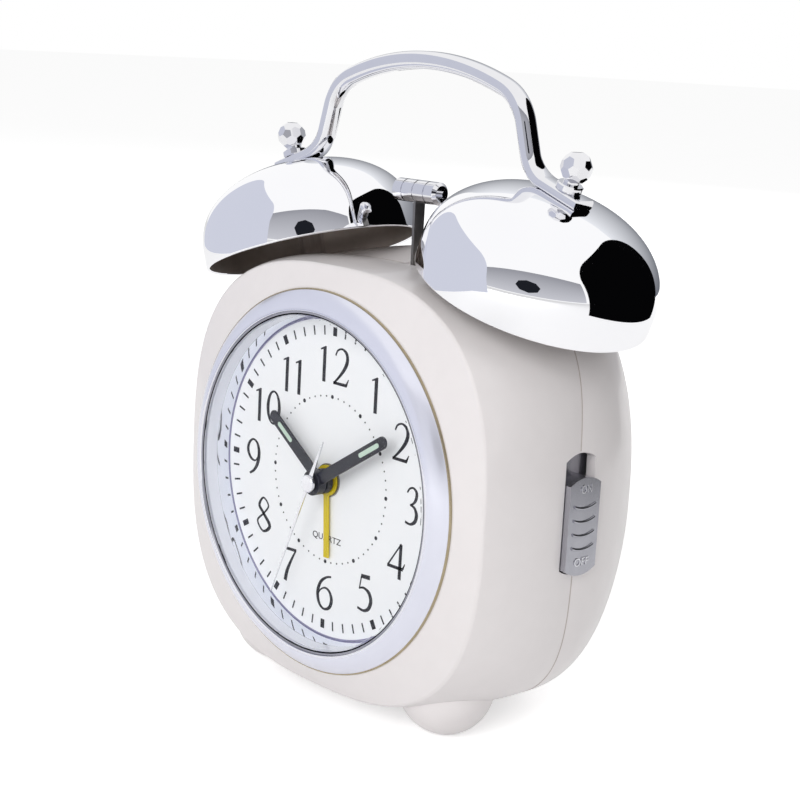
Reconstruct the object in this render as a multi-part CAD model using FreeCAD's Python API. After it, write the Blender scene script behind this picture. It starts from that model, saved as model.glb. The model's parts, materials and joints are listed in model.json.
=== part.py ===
import FreeCAD, Part
import math
import os

from FreeCAD import Vector

os.makedirs("parts", exist_ok=True)

# Twin-bell quartz alarm clock. Millimetres, X to the right seen from the front, Y to the back, Z up.
# The origin is on the table, under the middle of the clock's box.

# Place of the dial: its printed plane faces -Y
DIAL_Y = -27.0
DIAL_Z = 57.2

# Case: superellipse sections (half width, half height, exponent) at depths behind the dial plane,
# and how far each half bulges past the straight line between its two sections
FRONT_DEPTH = -1.4
SEAM_DEPTH = 26.6
REAR_DEPTH = 58.0
FRONT_SECTION = (54.2, 52.8, 2.75)
SEAM_SECTION = (57.0, 51.6, 4.3)
REAR_SECTION = (47.2, 55.2, 2.3)
FRONT_BULGE = (1.7, 0.6, 0.0)
REAR_BULGE = (2.9, 0.8, 0.0)
REAR_EDGE = 1.6
CASE_WALL = 2.2
REAR_WALL = 2.8
CREASE_RADIUS = 1.2
SECTION_STEPS = 48
LIP_RADIUS = 47.7
LIP_DEPTH = -4.4
DIAL_HOLE = 43.6

# Dial, lens and bezel
DIAL_RADIUS = 44.6
DIAL_THICK = 1.0
RIM_INNER_FRONT = 41.0
RIM_INNER_BACK = 39.9
RIM_FRONT_DEPTH = -6.4
BEZEL_OUTER = 47.0
BEZEL_INNER = 42.0
BEZEL_TOP_DEPTH = -8.0
LENS_RADIUS = 41.8
LENS_THICK = 1.1
LENS_CROWN = 1.5
LENS_FRONT_DEPTH = -9.2

# Bells
BELL_X = 39.5
BELL_DEPTH = 25.5
BELL_RIM_Z = 50.3
BELL_TILT = 20.1
BELL_RADIUS = 28.6
BELL_WALL_HEIGHT = 4.6
BELL_HEIGHT = 24.0
BELL_SHEET = 0.9
BELL_EXPONENT = 2.2
CROWN_SEAT = 23.7

# Bell posts, nuts and finials, by height above the rim along the bell's axis
POST_RADIUS = 1.5
SLEEVE_RADIUS = 3.4
POST_BOTTOM = -9.5
POST_HEAD_TOP = -5.6
POST_HEAD_RADIUS = 3.2
TAB_THICK = 2.4
NUT_HEIGHT = 1.7
NUT_RADIUS = 3.15
NECK_RADIUS = 1.85
FINIAL_HEIGHT = 31.7
FINIAL_RADIUS = 3.75

# Carrying handle: an arch of bar, flattened to a tab at each end
BAR_THICK = 4.4
BAR_WIDE = 5.0
BAR_BEVEL = 1.3
TAB_WIDTH = 6.2
TAB_BEVEL = 0.5
ARCH_TOP_Z = 101.8
ARCH_TOP_RADIUS = 75.0
ARCH_TOP_HALF_ANGLE = 21.0
SHOULDER_RADIUS = 12.0
LEG_LEAN = 15.7
HEEL_RADIUS = 9.0
TAB_REACH = 5.6

# Feet
FOOT_RADIUS = 11.9
FOOT_X = 31.9
FOOT_DEPTH = 12.6
FOOT_Z = 11.4
FOOT_PEG_RADIUS = 2.4
REAR_FOOT_RADIUS = 6.0
REAR_FOOT_DEPTH = 49.0

# Alarm hammer
HAMMER_DEPTH = 25.5
HAMMER_Z = 70.0
HAMMER_LENGTH = 15.6
HAMMER_RADIUS = 2.85
PIVOT_Z = 40.0
PIN_RADIUS = 1.0
ARM_THICK = 0.8
ARM_TOP_WIDTH = 3.4
ARM_LOW_WIDTH = 2.6
ARM_FOOT_Z = 29.0
HAMMER_SLOT = (10.0, 5.6)

# Striker: its bent bracket, its coil along X and the armature on the arm
BRACKET_X = (-7.0, 7.0, 27.0)
BRACKET_Z = (12.0, 25.5, 35.0, 45.0)
FRONT_CHEEK = (18.2, 19.4)
REAR_CHEEK = (30.6, 31.8)
PIN_PROUD = 0.8
COIL_Z = 31.0
COIL_SPAN = (8.5, 24.0)
COIL_RADIUS = 5.4
BOBBIN_RADIUS = 2.6
BOBBIN_FLANGE = (6.1, 1.0)
CORE_RADIUS = 1.8
CORE_END = 26.0
POLE_RADIUS = 3.0
POLE_SPAN = (6.0, 7.5)
ARMATURE_HALF = (1.5, 3.0)
ARMATURE_Z = (28.0, 34.0)

# Alarm switch on the right side
SWITCH_DEPTH = 26.8
SWITCH_Z = -1.7
SWITCH_TALL = 23.4
SWITCH_WIDE = 10.5
SWITCH_PROUD = 59.1
SWITCH_TRAVEL = 5.2
FLANGE_X = (51.6, 53.0)
FLANGE_HALF = 6.6
RIDGE_COUNT = 4
RIDGE_PITCH = 3.3
RIDGE_FIRST = 5.2
RIDGE_ARC_RADIUS = 9.0
RIDGE_RISE = 8.2
RIDGE_RADIUS = 0.38
RIDGE_HALF = 3.6
CONTACT_X = (49.6, 50.6, 51.0)
CONTACT_Z = (-14.0, 12.0)

# Hands: angle clockwise from twelve, front depth of the blade
HOUR_ANGLE = 304.7
MINUTE_ANGLE = 58.2
SECOND_ANGLE = 202.9
ALARM_ANGLE = 176.6
HAND_THICK = 0.4
HAND_WIDE = 3.05
HOUR_REACH = 23.9
MINUTE_REACH = 29.5
LUME_WIDE = 1.15
HOUR_LUME = (13.6, 20.2)
MINUTE_LUME = (19.0, 26.8)
HUB_RADIUS = 3.1
HOUR_FRONT = -3.0
MINUTE_FRONT = -5.1
SECOND_FRONT = -6.6
ALARM_FRONT = -0.95
SECOND_REACH = 33.1
SECOND_TAIL = 12.2
SECOND_CAP = 2.2
ALARM_REACH = 19.4
ALARM_WIDE = 1.7
ALARM_DISC = 3.85
NUT_RING = 4.15

# Nested tubes of the hands, radii
SECOND_ARBOR = 0.55
MINUTE_TUBE = (0.60, 1.20)
HOUR_TUBE = (1.25, 1.85)
ALARM_TUBE = (1.90, 2.50)
NOSE = (2.55, 3.30)
NOSE_FRONT = -0.45
RUNNING_GAP = 0.05
ARBOR_RADIUS = 0.4
STUD_RADIUS = 0.5
MAGNET_RADIUS = 1.6

# Movement
MOVEMENT_HALF = 25.0
MOVEMENT_FRONT = 1.0
MOVEMENT_FLOOR = 2.6
MOVEMENT_BACK = 17.0
COVER_BACK = 18.2
MOVEMENT_WALL = 1.4
PLATE_FRONT = 10.2
PLATE_BACK = 11.2
CORNER = 21.0
SCREW_HEAD_RADIUS = 1.7
SCREW_RADIUS = 0.9
PILLAR_RADIUS = 2.4
STUD_SHOULDER = 0.95
STATOR_LAYER = (14.8, 15.6)
STATOR_X = (-21.6, -15.2, -9.2)
STATOR_HALF = 12.0
STATOR_LEG = 2.4
WINDING_RADIUS = 1.7
WINDING_X = -19.6
BOARD_X = (13.0, 23.0)
BOARD_HALF = 17.0
CRYSTAL = (1.0, 6.0)

# Gear train: teeth and modules, pressure angle, thinning for backlash
PRESSURE_ANGLE = 25.0
ADDENDUM = 0.8
DEDENDUM = 1.05
TOOTH_THINNING = 0.12
MOTION_MODULE = 0.36
CANNON_TEETH = 12
MINUTE_WHEEL_TEETH = 36
MINUTE_PINION_TEETH = 10
HOUR_TEETH = 40
SET_PINION_TEETH = 12
ALARM_MODULE = 0.30
ALARM_TEETH = 50
ALARM_PINION_TEETH = 12
CENTRE_MODULE = 0.20
CENTRE_TEETH = 80
THIRD_PINION_TEETH = 10
THIRD_TEETH = 75
SECOND_PINION_TEETH = 10
SECOND_MODULE = 0.22
SECOND_TEETH = 50
INTERMEDIATE_PINION_TEETH = 10
ROTOR_MODULE = 0.18
INTERMEDIATE_TEETH = 60
ROTOR_TEETH = 10
ROTOR_DIRECTION = 150.0

# Depths of the wheels
ALARM_LAYER = (3.5, 4.5)
HOUR_LAYER = (4.8, 5.8)
MINUTE_LAYER = (6.2, 7.2)
CENTRE_LAYER = (7.6, 8.4)
THIRD_LAYER = (9.0, 9.8)
SECOND_LAYER = (11.6, 12.4)
INTERMEDIATE_LAYER = (13.0, 13.8)
MAGNET_LAYER = (14.2, 16.2)

# Knobs and battery
KNOB_RADIUS = 5.5
KNOB_DEPTHS = (58.4, 63.2)
SHAFT_RADIUS = 0.75
CELL_RADIUS = 7.2
CELL_LENGTH = 50.0
CELL_DEPTH = 47.2
CELL_Z = -32.5
DOOR_HALF = 30.0
DOOR_LOW = -41.0
DOOR_HIGH = -24.0
DOOR_THICK = 1.8
DOOR_GAP = 0.2
GRIP_GROOVES = 3
GRIP_PITCH = 1.6
TRAY_FRONT = 38.2
TRAY_WALL = 1.5
CELL_BUTTON = (2.6, 1.2)
PLATE_HALF = 5.0
PLATE_THICK = 0.5
SPRING_WIRE = 0.35
SPRING_RADIUS = 3.4
SPRING_PITCH = 1.15
SPRING_STEPS = 12

# Screws
CASE_SCREW = (37.0, 31.0)
CASE_SCREW_RADIUS = 1.4
SCREW_SEAT = 34.0
SCREW_HEAD = (2.5, 1.8)
SCREW_CROSS = (1.6, 0.3)
SCREW_TIP = 10.0
BOSS_RADIUS = 3.6


def place(x, depth, z):
    """A point given from the dial's centre."""
    return Vector(x, DIAL_Y + depth, DIAL_Z + z)


def rod(radius, front, back, x=0.0, z=0.0):
    """A round bar along Y between two depths."""
    return Part.makeCylinder(radius, back - front, place(x, front, z), Vector(0, 1, 0))


def tube(outer, inner, front, back, x=0.0, z=0.0):
    return rod(outer, front, back, x, z).cut(rod(inner, front - 1, back + 1, x, z))


def block(x0, x1, front, back, z0, z1):
    return Part.makeBox(x1 - x0, back - front, z1 - z0, place(x0, front, z0))


def revolve_depth(profile):
    """Turn a list of (radius, depth) corners round the dial's axis."""
    points = [place(radius, depth, 0) for radius, depth in profile]
    face = Part.Face(Part.makePolygon(points + points[:1]))
    return face.revolve(place(0, 0, 0), Vector(0, 1, 0), 360)


def export(shape, name):
    solids = shape.Solids
    result = solids[0] if len(solids) == 1 else Part.makeCompound(solids)
    result.exportStep("parts/" + name + ".step")
    print(name, len(solids), round(result.Volume, 2), result.isValid())


def extrude_outline(points, front, back):
    """A flat piece from (x, z) corners about the dial's centre."""
    corners = [place(x, front, z) for x, z in points]
    face = Part.Face(Part.makePolygon(corners + corners[:1]))
    return face.extrude(Vector(0, back - front, 0))


# Case

def section_at(depth, inset=0.0):
    """Half width, half height and exponent of the case's section."""
    if depth <= SEAM_DEPTH:
        share = (depth - FRONT_DEPTH) / (SEAM_DEPTH - FRONT_DEPTH)
        ends = (FRONT_SECTION, SEAM_SECTION, FRONT_BULGE)
    else:
        share = (depth - SEAM_DEPTH) / (REAR_DEPTH - SEAM_DEPTH)
        ends = (SEAM_SECTION, REAR_SECTION, REAR_BULGE)
    values = []
    for start, end, bulge in zip(*ends):
        values.append(start + (end - start) * share + 4 * bulge * share * (1 - share))
    return values[0] - inset, values[1] - inset, values[2]


def oval_wire(half_width, half_height, exponent, depth):
    """A closed superellipse across the clock, drawn through points at even angles."""
    points = []
    for i in range(SECTION_STEPS):
        angle = 2 * math.pi * i / SECTION_STEPS
        c = math.cos(angle)
        s = math.sin(angle)
        reach = (abs(c / half_width) ** exponent + abs(s / half_height) ** exponent) ** (-1 / exponent)
        points.append(place(reach * c, depth, reach * s))
    curve = Part.BSplineCurve()
    curve.interpolate(points, PeriodicFlag=True)
    return Part.Wire(curve.toShape())


def section_wire(depth, inset=0.0):
    half_width, half_height, exponent = section_at(depth, inset)
    return oval_wire(half_width, half_height, exponent, depth)


def case_loft(depths, inset=0.0):
    return Part.makeLoft([section_wire(d, inset) for d in depths], True, False)


def front_outside():
    """Outside of the front half: bowed sides and a face that rises to the bezel."""
    sides = case_loft((FRONT_DEPTH, 5.6, 12.6, 19.6, SEAM_DEPTH))
    crease = section_wire(FRONT_DEPTH)
    lip = oval_wire(LIP_RADIUS, LIP_RADIUS, 2.0, LIP_DEPTH)
    face = Part.makeLoft([lip, crease], True, True)
    body = sides.fuse(face)
    edges = [e for e in body.Edges if is_ring_at(e, FRONT_DEPTH)]
    return body.makeFillet(CREASE_RADIUS, edges)


def is_ring_at(edge, depth):
    """Whether an edge goes round the case at one depth."""
    box = edge.BoundBox
    flat = abs(box.YMin - DIAL_Y - depth) < 0.05 and abs(box.YMax - DIAL_Y - depth) < 0.05
    return flat and box.XLength > LIP_RADIUS


def rear_outside():
    """Outside of the rear half, with its rear edge drawn in to a rounded corner."""
    edge = REAR_EDGE
    depths = (SEAM_DEPTH, 34.6, 42.6, 49.0, REAR_DEPTH - edge)
    sides = case_loft(depths)
    steps = 5
    wires = []
    for i in range(steps + 1):
        turn = math.pi / 2 * i / steps
        depth = REAR_DEPTH - edge + edge * math.sin(turn)
        inset = edge * (1 - math.cos(turn))
        wires.append(section_wire(depth, inset))
    corner = Part.makeLoft(wires, True, False)
    return sides.fuse(corner)


def switch_slot():
    low = SWITCH_Z - SWITCH_TALL / 2 - 0.2
    high = SWITCH_Z + SWITCH_TALL / 2 + SWITCH_TRAVEL + 0.2
    half = SWITCH_WIDE / 2 + 0.25
    return switch_outline(low, high, half, 50.0, 62.0)


def switch_outline(low, high, half, x0, x1):
    """A tall outline with bowed ends, extruded along X."""
    bow = 1.6
    bottom_left = place(x0, SWITCH_DEPTH - half, low + bow)
    bottom_right = place(x0, SWITCH_DEPTH + half, low + bow)
    top_right = place(x0, SWITCH_DEPTH + half, high - bow)
    top_left = place(x0, SWITCH_DEPTH - half, high - bow)
    edges = [
        Part.Arc(bottom_left, place(x0, SWITCH_DEPTH, low), bottom_right).toShape(),
        Part.LineSegment(bottom_right, top_right).toShape(),
        Part.Arc(top_right, place(x0, SWITCH_DEPTH, high), top_left).toShape(),
        Part.LineSegment(top_left, bottom_left).toShape(),
    ]
    return Part.Face(Part.Wire(edges)).extrude(Vector(x1 - x0, 0, 0))


def hammer_slot():
    wide, long = HAMMER_SLOT
    return block(-wide / 2, wide / 2, HAMMER_DEPTH - long / 2, HAMMER_DEPTH + long / 2, 30.0, 60.0)


def case_openings():
    """What both halves are cut by: the switch slot, the hammer slot and the post holes."""
    cuts = [switch_slot(), hammer_slot()]
    for side in (-1, 1):
        cuts.append(along_bell(side, POST_RADIUS, POST_BOTTOM - 1, 6.0))
    return cuts


def case_boss(front, back, sx, sz, outer, inner):
    x = sx * CASE_SCREW[0]
    z = sz * CASE_SCREW[1]
    return tube(outer, inner, front, back, x, z)


def corners():
    return [(sx, sz) for sx in (-1, 1) for sz in (-1, 1)]


def make_front_case():
    outside = front_outside()
    inside = case_loft((0.0, 6.6, 13.0, 19.6, SEAM_DEPTH), CASE_WALL)
    shell = outside.cut(inside)
    shell = shell.cut(rod(DIAL_HOLE, -10.0, 5.0))
    for sx, sz in corners():
        boss = case_boss(0.0, SEAM_DEPTH, sx, sz, BOSS_RADIUS, CASE_SCREW_RADIUS)
        shell = shell.fuse(boss.common(outside))
        shell = shell.cut(rod(CASE_SCREW_RADIUS, 8.0, SEAM_DEPTH + 1, sx * CASE_SCREW[0], sz * CASE_SCREW[1]))
    for cut in case_openings():
        shell = shell.cut(cut)
    for side in (-1, 1):
        shell = shell.cut(foot_peg(side))
    return shell


def make_rear_case():
    outside = rear_outside()
    back_wall = REAR_DEPTH - CASE_WALL
    inside = case_loft((SEAM_DEPTH, 34.6, 42.6, 49.0, back_wall), REAR_WALL)
    shell = outside.cut(inside)
    room = DOOR_HALF + 1
    reach = room + TRAY_WALL
    tray = block(-reach, reach, TRAY_FRONT, back_wall + 0.5, DOOR_LOW - 1.6, DOOR_HIGH + 1.6)
    shell = shell.fuse(tray.common(outside))
    shell = shell.cut(block(-room, room, TRAY_FRONT + 1.4, back_wall, DOOR_LOW, DOOR_HIGH))
    shell = shell.cut(block(-DOOR_HALF, DOOR_HALF, 50.0, REAR_DEPTH + 5, DOOR_LOW, DOOR_HIGH))
    for sx, sz in corners():
        x = sx * CASE_SCREW[0]
        z = sz * CASE_SCREW[1]
        boss = rod(BOSS_RADIUS, SEAM_DEPTH, REAR_DEPTH - 0.5, x, z)
        shell = shell.fuse(boss.common(outside))
        shell = shell.cut(rod(CASE_SCREW_RADIUS + 0.3, SEAM_DEPTH - 1, SCREW_SEAT, x, z))
        shell = shell.cut(rod(CASE_SCREW_RADIUS + 1.3, SCREW_SEAT - 0.1, REAR_DEPTH + 1, x, z))
    for x, z in (time_knob_place(), alarm_knob_place()):
        shell = shell.cut(rod(SHAFT_RADIUS + 0.6, 50.0, REAR_DEPTH + 1, x, z))
    for cut in case_openings():
        shell = shell.cut(cut)
    return shell.cut(rear_foot_peg())


# Feet

def foot_peg(side):
    base = Vector(side * FOOT_X, DIAL_Y + FOOT_DEPTH, 3.0)
    return Part.makeCylinder(FOOT_PEG_RADIUS, 8.0, base, Vector(0, 0, 1))


def make_foot(side, outside):
    centre = Vector(side * FOOT_X, DIAL_Y + FOOT_DEPTH, FOOT_Z)
    ball = Part.makeSphere(FOOT_RADIUS, centre)
    floor = Part.makeBox(100, 100, 20, Vector(centre.x - 50, centre.y - 50, -20))
    below = ball.cut(floor).cut(outside)
    return below.fuse(foot_peg(side)).removeSplitter()


def rear_foot_peg():
    return Part.makeCylinder(FOOT_PEG_RADIUS, 6.0, Vector(0, DIAL_Y + REAR_FOOT_DEPTH, 2.0), Vector(0, 0, 1))


def make_rear_foot(outside):
    base = Vector(0, DIAL_Y + REAR_FOOT_DEPTH, 0)
    pad = Part.makeCylinder(REAR_FOOT_RADIUS, 8.0, base, Vector(0, 0, 1))
    pad = pad.makeFillet(0.8, [e for e in pad.Edges if e.BoundBox.ZMax < 0.01])
    return pad.cut(outside).fuse(rear_foot_peg())


# Dial, bezel and lens

def make_dial_plate():
    return tube(DIAL_RADIUS, NOSE[1] + 0.1, 0.0, DIAL_THICK)


def make_dial_rim():
    profile = [
        (RIM_INNER_FRONT, RIM_FRONT_DEPTH),
        (DIAL_HOLE, RIM_FRONT_DEPTH),
        (DIAL_HOLE, 0.0),
        (RIM_INNER_BACK, 0.0),
    ]
    return revolve_depth(profile)


def make_bezel():
    """A bright ring with a bowed face between its two edges."""
    lip = BEZEL_TOP_DEPTH + 0.5
    outer_edge = place(BEZEL_OUTER, LIP_DEPTH - 0.6, 0)
    middle = place(44.8, -7.3, 0)
    inner_edge = place(BEZEL_INNER, BEZEL_TOP_DEPTH, 0)
    corners_back = [
        place(BEZEL_INNER - 0.9, lip, 0),
        place(BEZEL_INNER, lip, 0),
        place(BEZEL_INNER, RIM_FRONT_DEPTH, 0),
        place(DIAL_HOLE, RIM_FRONT_DEPTH, 0),
        place(DIAL_HOLE, LIP_DEPTH, 0),
        place(BEZEL_OUTER, LIP_DEPTH, 0),
    ]
    edges = [Part.Arc(outer_edge, middle, inner_edge).toShape()]
    path = [inner_edge] + corners_back + [outer_edge]
    for start, end in zip(path, path[1:]):
        edges.append(Part.LineSegment(start, end).toShape())
    face = Part.Face(Part.Wire(edges))
    return face.revolve(place(0, 0, 0), Vector(0, 1, 0), 360)


def make_lens():
    """A shallow dome of clear plastic with a flange, held between the rim and the bezel's lip."""
    dome_radius = LENS_RADIUS - 1.2
    edge_front = LENS_FRONT_DEPTH + LENS_CROWN
    lip = BEZEL_TOP_DEPTH + 0.5
    sphere = (dome_radius ** 2 + LENS_CROWN ** 2) / (2 * LENS_CROWN)
    half = math.asin(dome_radius / sphere) / 2
    middle_radius = sphere * math.sin(half)
    middle_front = LENS_FRONT_DEPTH + sphere * (1 - math.cos(half))
    front_top = place(0, LENS_FRONT_DEPTH, 0)
    front_edge = place(dome_radius, edge_front, 0)
    back_edge = place(dome_radius, edge_front + LENS_THICK, 0)
    back_top = place(0, LENS_FRONT_DEPTH + LENS_THICK, 0)
    path = [
        front_edge,
        place(dome_radius, lip, 0),
        place(LENS_RADIUS, lip, 0),
        place(LENS_RADIUS, RIM_FRONT_DEPTH, 0),
        place(dome_radius, RIM_FRONT_DEPTH, 0),
        back_edge,
    ]
    edges = [Part.Arc(front_top, place(middle_radius, middle_front, 0), front_edge).toShape()]
    for start, end in zip(path, path[1:]):
        edges.append(Part.LineSegment(start, end).toShape())
    back_middle = place(middle_radius, middle_front + LENS_THICK, 0)
    edges.append(Part.Arc(back_edge, back_middle, back_top).toShape())
    edges.append(Part.LineSegment(back_top, front_top).toShape())
    return Part.Face(Part.Wire(edges)).revolve(place(0, 0, 0), Vector(0, 1, 0), 360)


# Bells and what holds them

def bell_axis(side):
    tilt = math.radians(BELL_TILT)
    return Vector(side * math.sin(tilt), 0, math.cos(tilt))


def bell_across(side):
    tilt = math.radians(BELL_TILT)
    return Vector(side * math.cos(tilt), 0, -math.sin(tilt))


def bell_point(side, radius, height):
    """A point in the upright plane through both bells, from the rim's centre."""
    centre = place(side * BELL_X, BELL_DEPTH, BELL_RIM_Z)
    return centre + bell_across(side) * radius + bell_axis(side) * height


def along_bell(side, radius, low, high):
    return Part.makeCylinder(radius, high - low, bell_point(side, 0, low), bell_axis(side))


def dome_curve(side, radius, height, seat, steps=9):
    """Half of the dome's outline, from the straight wall up to the flat seat at the crown."""
    rise = height - BELL_WALL_HEIGHT
    points = []
    top = math.asin(((seat - BELL_WALL_HEIGHT) / rise) ** (BELL_EXPONENT / 2))
    for i in range(steps + 1):
        angle = top * i / steps
        r = radius * math.cos(angle) ** (2 / BELL_EXPONENT)
        h = BELL_WALL_HEIGHT + rise * math.sin(angle) ** (2 / BELL_EXPONENT)
        points.append(bell_point(side, r, h))
    curve = Part.BSplineCurve()
    curve.interpolate(points)
    return curve.toShape(), points[0], points[-1]


def make_bell(side):
    outer, outer_foot, outer_top = dome_curve(side, BELL_RADIUS, BELL_HEIGHT, CROWN_SEAT)
    inner_radius = BELL_RADIUS - BELL_SHEET
    inner_seat = CROWN_SEAT - BELL_SHEET
    inner, inner_foot, inner_top = dome_curve(side, inner_radius, BELL_HEIGHT - BELL_SHEET, inner_seat)
    hole_top = bell_point(side, POST_RADIUS, CROWN_SEAT)
    hole_low = bell_point(side, POST_RADIUS, inner_seat)
    outer_rim = bell_point(side, BELL_RADIUS, 0)
    inner_rim = bell_point(side, inner_radius, 0)
    edges = [outer, inner]
    straight = [
        (outer_top, hole_top),
        (hole_top, hole_low),
        (hole_low, inner_top),
        (inner_foot, inner_rim),
        (inner_rim, outer_rim),
        (outer_rim, outer_foot),
    ]
    for start, end in straight:
        edges.append(Part.LineSegment(start, end).toShape())
    wire = Part.Wire(Part.__sortEdges__(edges))
    return Part.Face(wire).revolve(bell_point(side, 0, 0), bell_axis(side), 360)


def make_bell_sleeve(side, outside):
    sleeve = along_bell(side, SLEEVE_RADIUS, -4.0, CROWN_SEAT - BELL_SHEET)
    return sleeve.cut(outside).cut(along_bell(side, POST_RADIUS, -6.0, 30.0))


def make_bell_post(side):
    head = along_bell(side, POST_HEAD_RADIUS, POST_BOTTOM, POST_HEAD_TOP)
    stud = along_bell(side, POST_RADIUS, POST_BOTTOM, FINIAL_HEIGHT)
    return head.fuse(stud).removeSplitter()


def make_bell_nut(side):
    low = CROWN_SEAT + TAB_THICK
    nut = along_bell(side, NUT_RADIUS, low, low + NUT_HEIGHT)
    rims = [e for e in nut.Edges if len(e.Vertexes) == 1 and e.Length > 4]
    nut = nut.makeChamfer(0.3, rims)
    return nut.cut(along_bell(side, POST_RADIUS, 0, 40))


def finial_directions():
    """Face directions of the ball: an icosahedron's corners and the middles of its faces."""
    golden = (1 + math.sqrt(5)) / 2
    corners_list = []
    for a in (-1, 1):
        for b in (-golden, golden):
            corners_list += [Vector(0, a, b), Vector(a, b, 0), Vector(b, 0, a)]
    middles = []
    for i, first in enumerate(corners_list):
        for j in range(i + 1, len(corners_list)):
            for k in range(j + 1, len(corners_list)):
                second = corners_list[j]
                third = corners_list[k]
                near = max(first.sub(second).Length, second.sub(third).Length, first.sub(third).Length)
                if near < 2.1:
                    middles.append(first + second + third)
    return corners_list, middles


def make_finial(side):
    """A ball cut with flats in the football pattern, on a short neck."""
    low = CROWN_SEAT + TAB_THICK + NUT_HEIGHT
    centre = bell_point(side, 0, FINIAL_HEIGHT)
    ball = Part.makeSphere(FINIAL_RADIUS, centre)
    turn = FreeCAD.Rotation(Vector(0, 0, 1), bell_axis(side))
    fives, sixes = finial_directions()
    for directions, reach in ((fives, 0.945), (sixes, 0.915)):
        for direction in directions:
            normal = turn.multVec(Vector(direction).normalize())
            slab = Part.makeCylinder(FINIAL_RADIUS, 2.0, centre + normal * (FINIAL_RADIUS * reach), normal)
            ball = ball.cut(slab)
    neck = along_bell(side, NECK_RADIUS, low, FINIAL_HEIGHT - 2.5)
    body = ball.fuse(neck)
    return body.cut(along_bell(side, POST_RADIUS, 0, FINIAL_HEIGHT))


# Handle

def handle_path():
    """Right half of the arch: (x, z, heading in degrees) at even steps, and where the tab begins."""
    top = math.radians(ARCH_TOP_HALF_ANGLE)
    lean = math.radians(90 - LEG_LEAN)
    centre_z = ARCH_TOP_Z - ARCH_TOP_RADIUS
    stations = []
    for i in range(6):
        a = top * i / 5
        stations.append((ARCH_TOP_RADIUS * math.sin(a), centre_z + ARCH_TOP_RADIUS * math.cos(a), -a))
    x, z, _ = stations[-1]
    shoulder_x = x - SHOULDER_RADIUS * math.sin(top)
    shoulder_z = z - SHOULDER_RADIUS * math.cos(top)
    for i in range(1, 8):
        a = top + (lean - top) * i / 7
        x = shoulder_x + SHOULDER_RADIUS * math.sin(a)
        z = shoulder_z + SHOULDER_RADIUS * math.cos(a)
        stations.append((x, z, -a))
    x, z, _ = stations[-1]
    tilt = math.radians(BELL_TILT)
    seat = bell_point(1, 0, CROWN_SEAT + TAB_THICK / 2)
    seat_x = seat.x
    seat_z = seat.z - DIAL_Z
    # The heel arc turns from the leg's heading to the tab's. The leg is as long as that arc needs.
    drop_x = HEEL_RADIUS * (math.sin(lean) - math.sin(tilt))
    drop_z = HEEL_RADIUS * (math.cos(tilt) - math.cos(lean))
    normal = (math.sin(tilt), math.cos(tilt))
    start_gap = (x + drop_x - seat_x) * normal[0] + (z - drop_z - seat_z) * normal[1]
    fall = -(math.cos(lean) * normal[0] - math.sin(lean) * normal[1])
    leg = start_gap / fall
    for i in range(1, 3):
        step = leg * i / 2
        stations.append((x + math.cos(lean) * step, z - math.sin(lean) * step, -lean))
    x, z, _ = stations[-1]
    heel_x = x + HEEL_RADIUS * math.sin(lean)
    heel_z = z + HEEL_RADIUS * math.cos(lean)
    for i in range(1, 7):
        a = lean + (tilt - lean) * i / 6
        stations.append((heel_x - HEEL_RADIUS * math.sin(a), heel_z - HEEL_RADIUS * math.cos(a), -a))
    tab_start = len(stations) - 1
    x, z, _ = stations[-1]
    end_x = seat_x + math.cos(tilt) * TAB_REACH
    end_z = seat_z - math.sin(tilt) * TAB_REACH
    for i in range(1, 4):
        share = i / 3
        stations.append((x + (end_x - x) * share, z + (end_z - z) * share, -tilt))
    return stations, tab_start


def bar_section(x, z, heading, thick, wide, bevel):
    """An eight-sided section of the bar, square to its heading in the plane of the bells."""
    centre = place(x, BELL_DEPTH, z)
    up = Vector(-math.sin(heading), 0, math.cos(heading))
    across = Vector(0, 1, 0)
    t = thick / 2
    w = wide / 2
    b = bevel
    outline = [(t, w - b), (t - b, w), (b - t, w), (-t, w - b)]
    outline += [(-x, -z) for x, z in outline]
    points = [centre + up * u + across * v for u, v in outline]
    return Part.makePolygon(points + points[:1])


def make_handle():
    stations, tab_start = handle_path()
    flat_start = tab_start - 5
    half = []
    for i, (x, z, heading) in enumerate(stations):
        share = min(max((i - flat_start) / (tab_start - flat_start), 0.0), 1.0)
        thick = BAR_THICK + (TAB_THICK - BAR_THICK) * share
        wide = BAR_WIDE + (TAB_WIDTH - BAR_WIDE) * share
        bevel = BAR_BEVEL + (TAB_BEVEL - BAR_BEVEL) * share
        half.append((x, z, heading, thick, wide, bevel))
    left = [(-x, z, -heading, thick, wide, bevel) for x, z, heading, thick, wide, bevel in reversed(half[1:])]
    wires = [bar_section(*station) for station in left + half]
    bar = Part.makeLoft(wires, True, True)
    for side in (-1, 1):
        bar = bar.cut(along_bell(side, POST_RADIUS, 10, 40))
    return bar


# Alarm hammer

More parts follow.
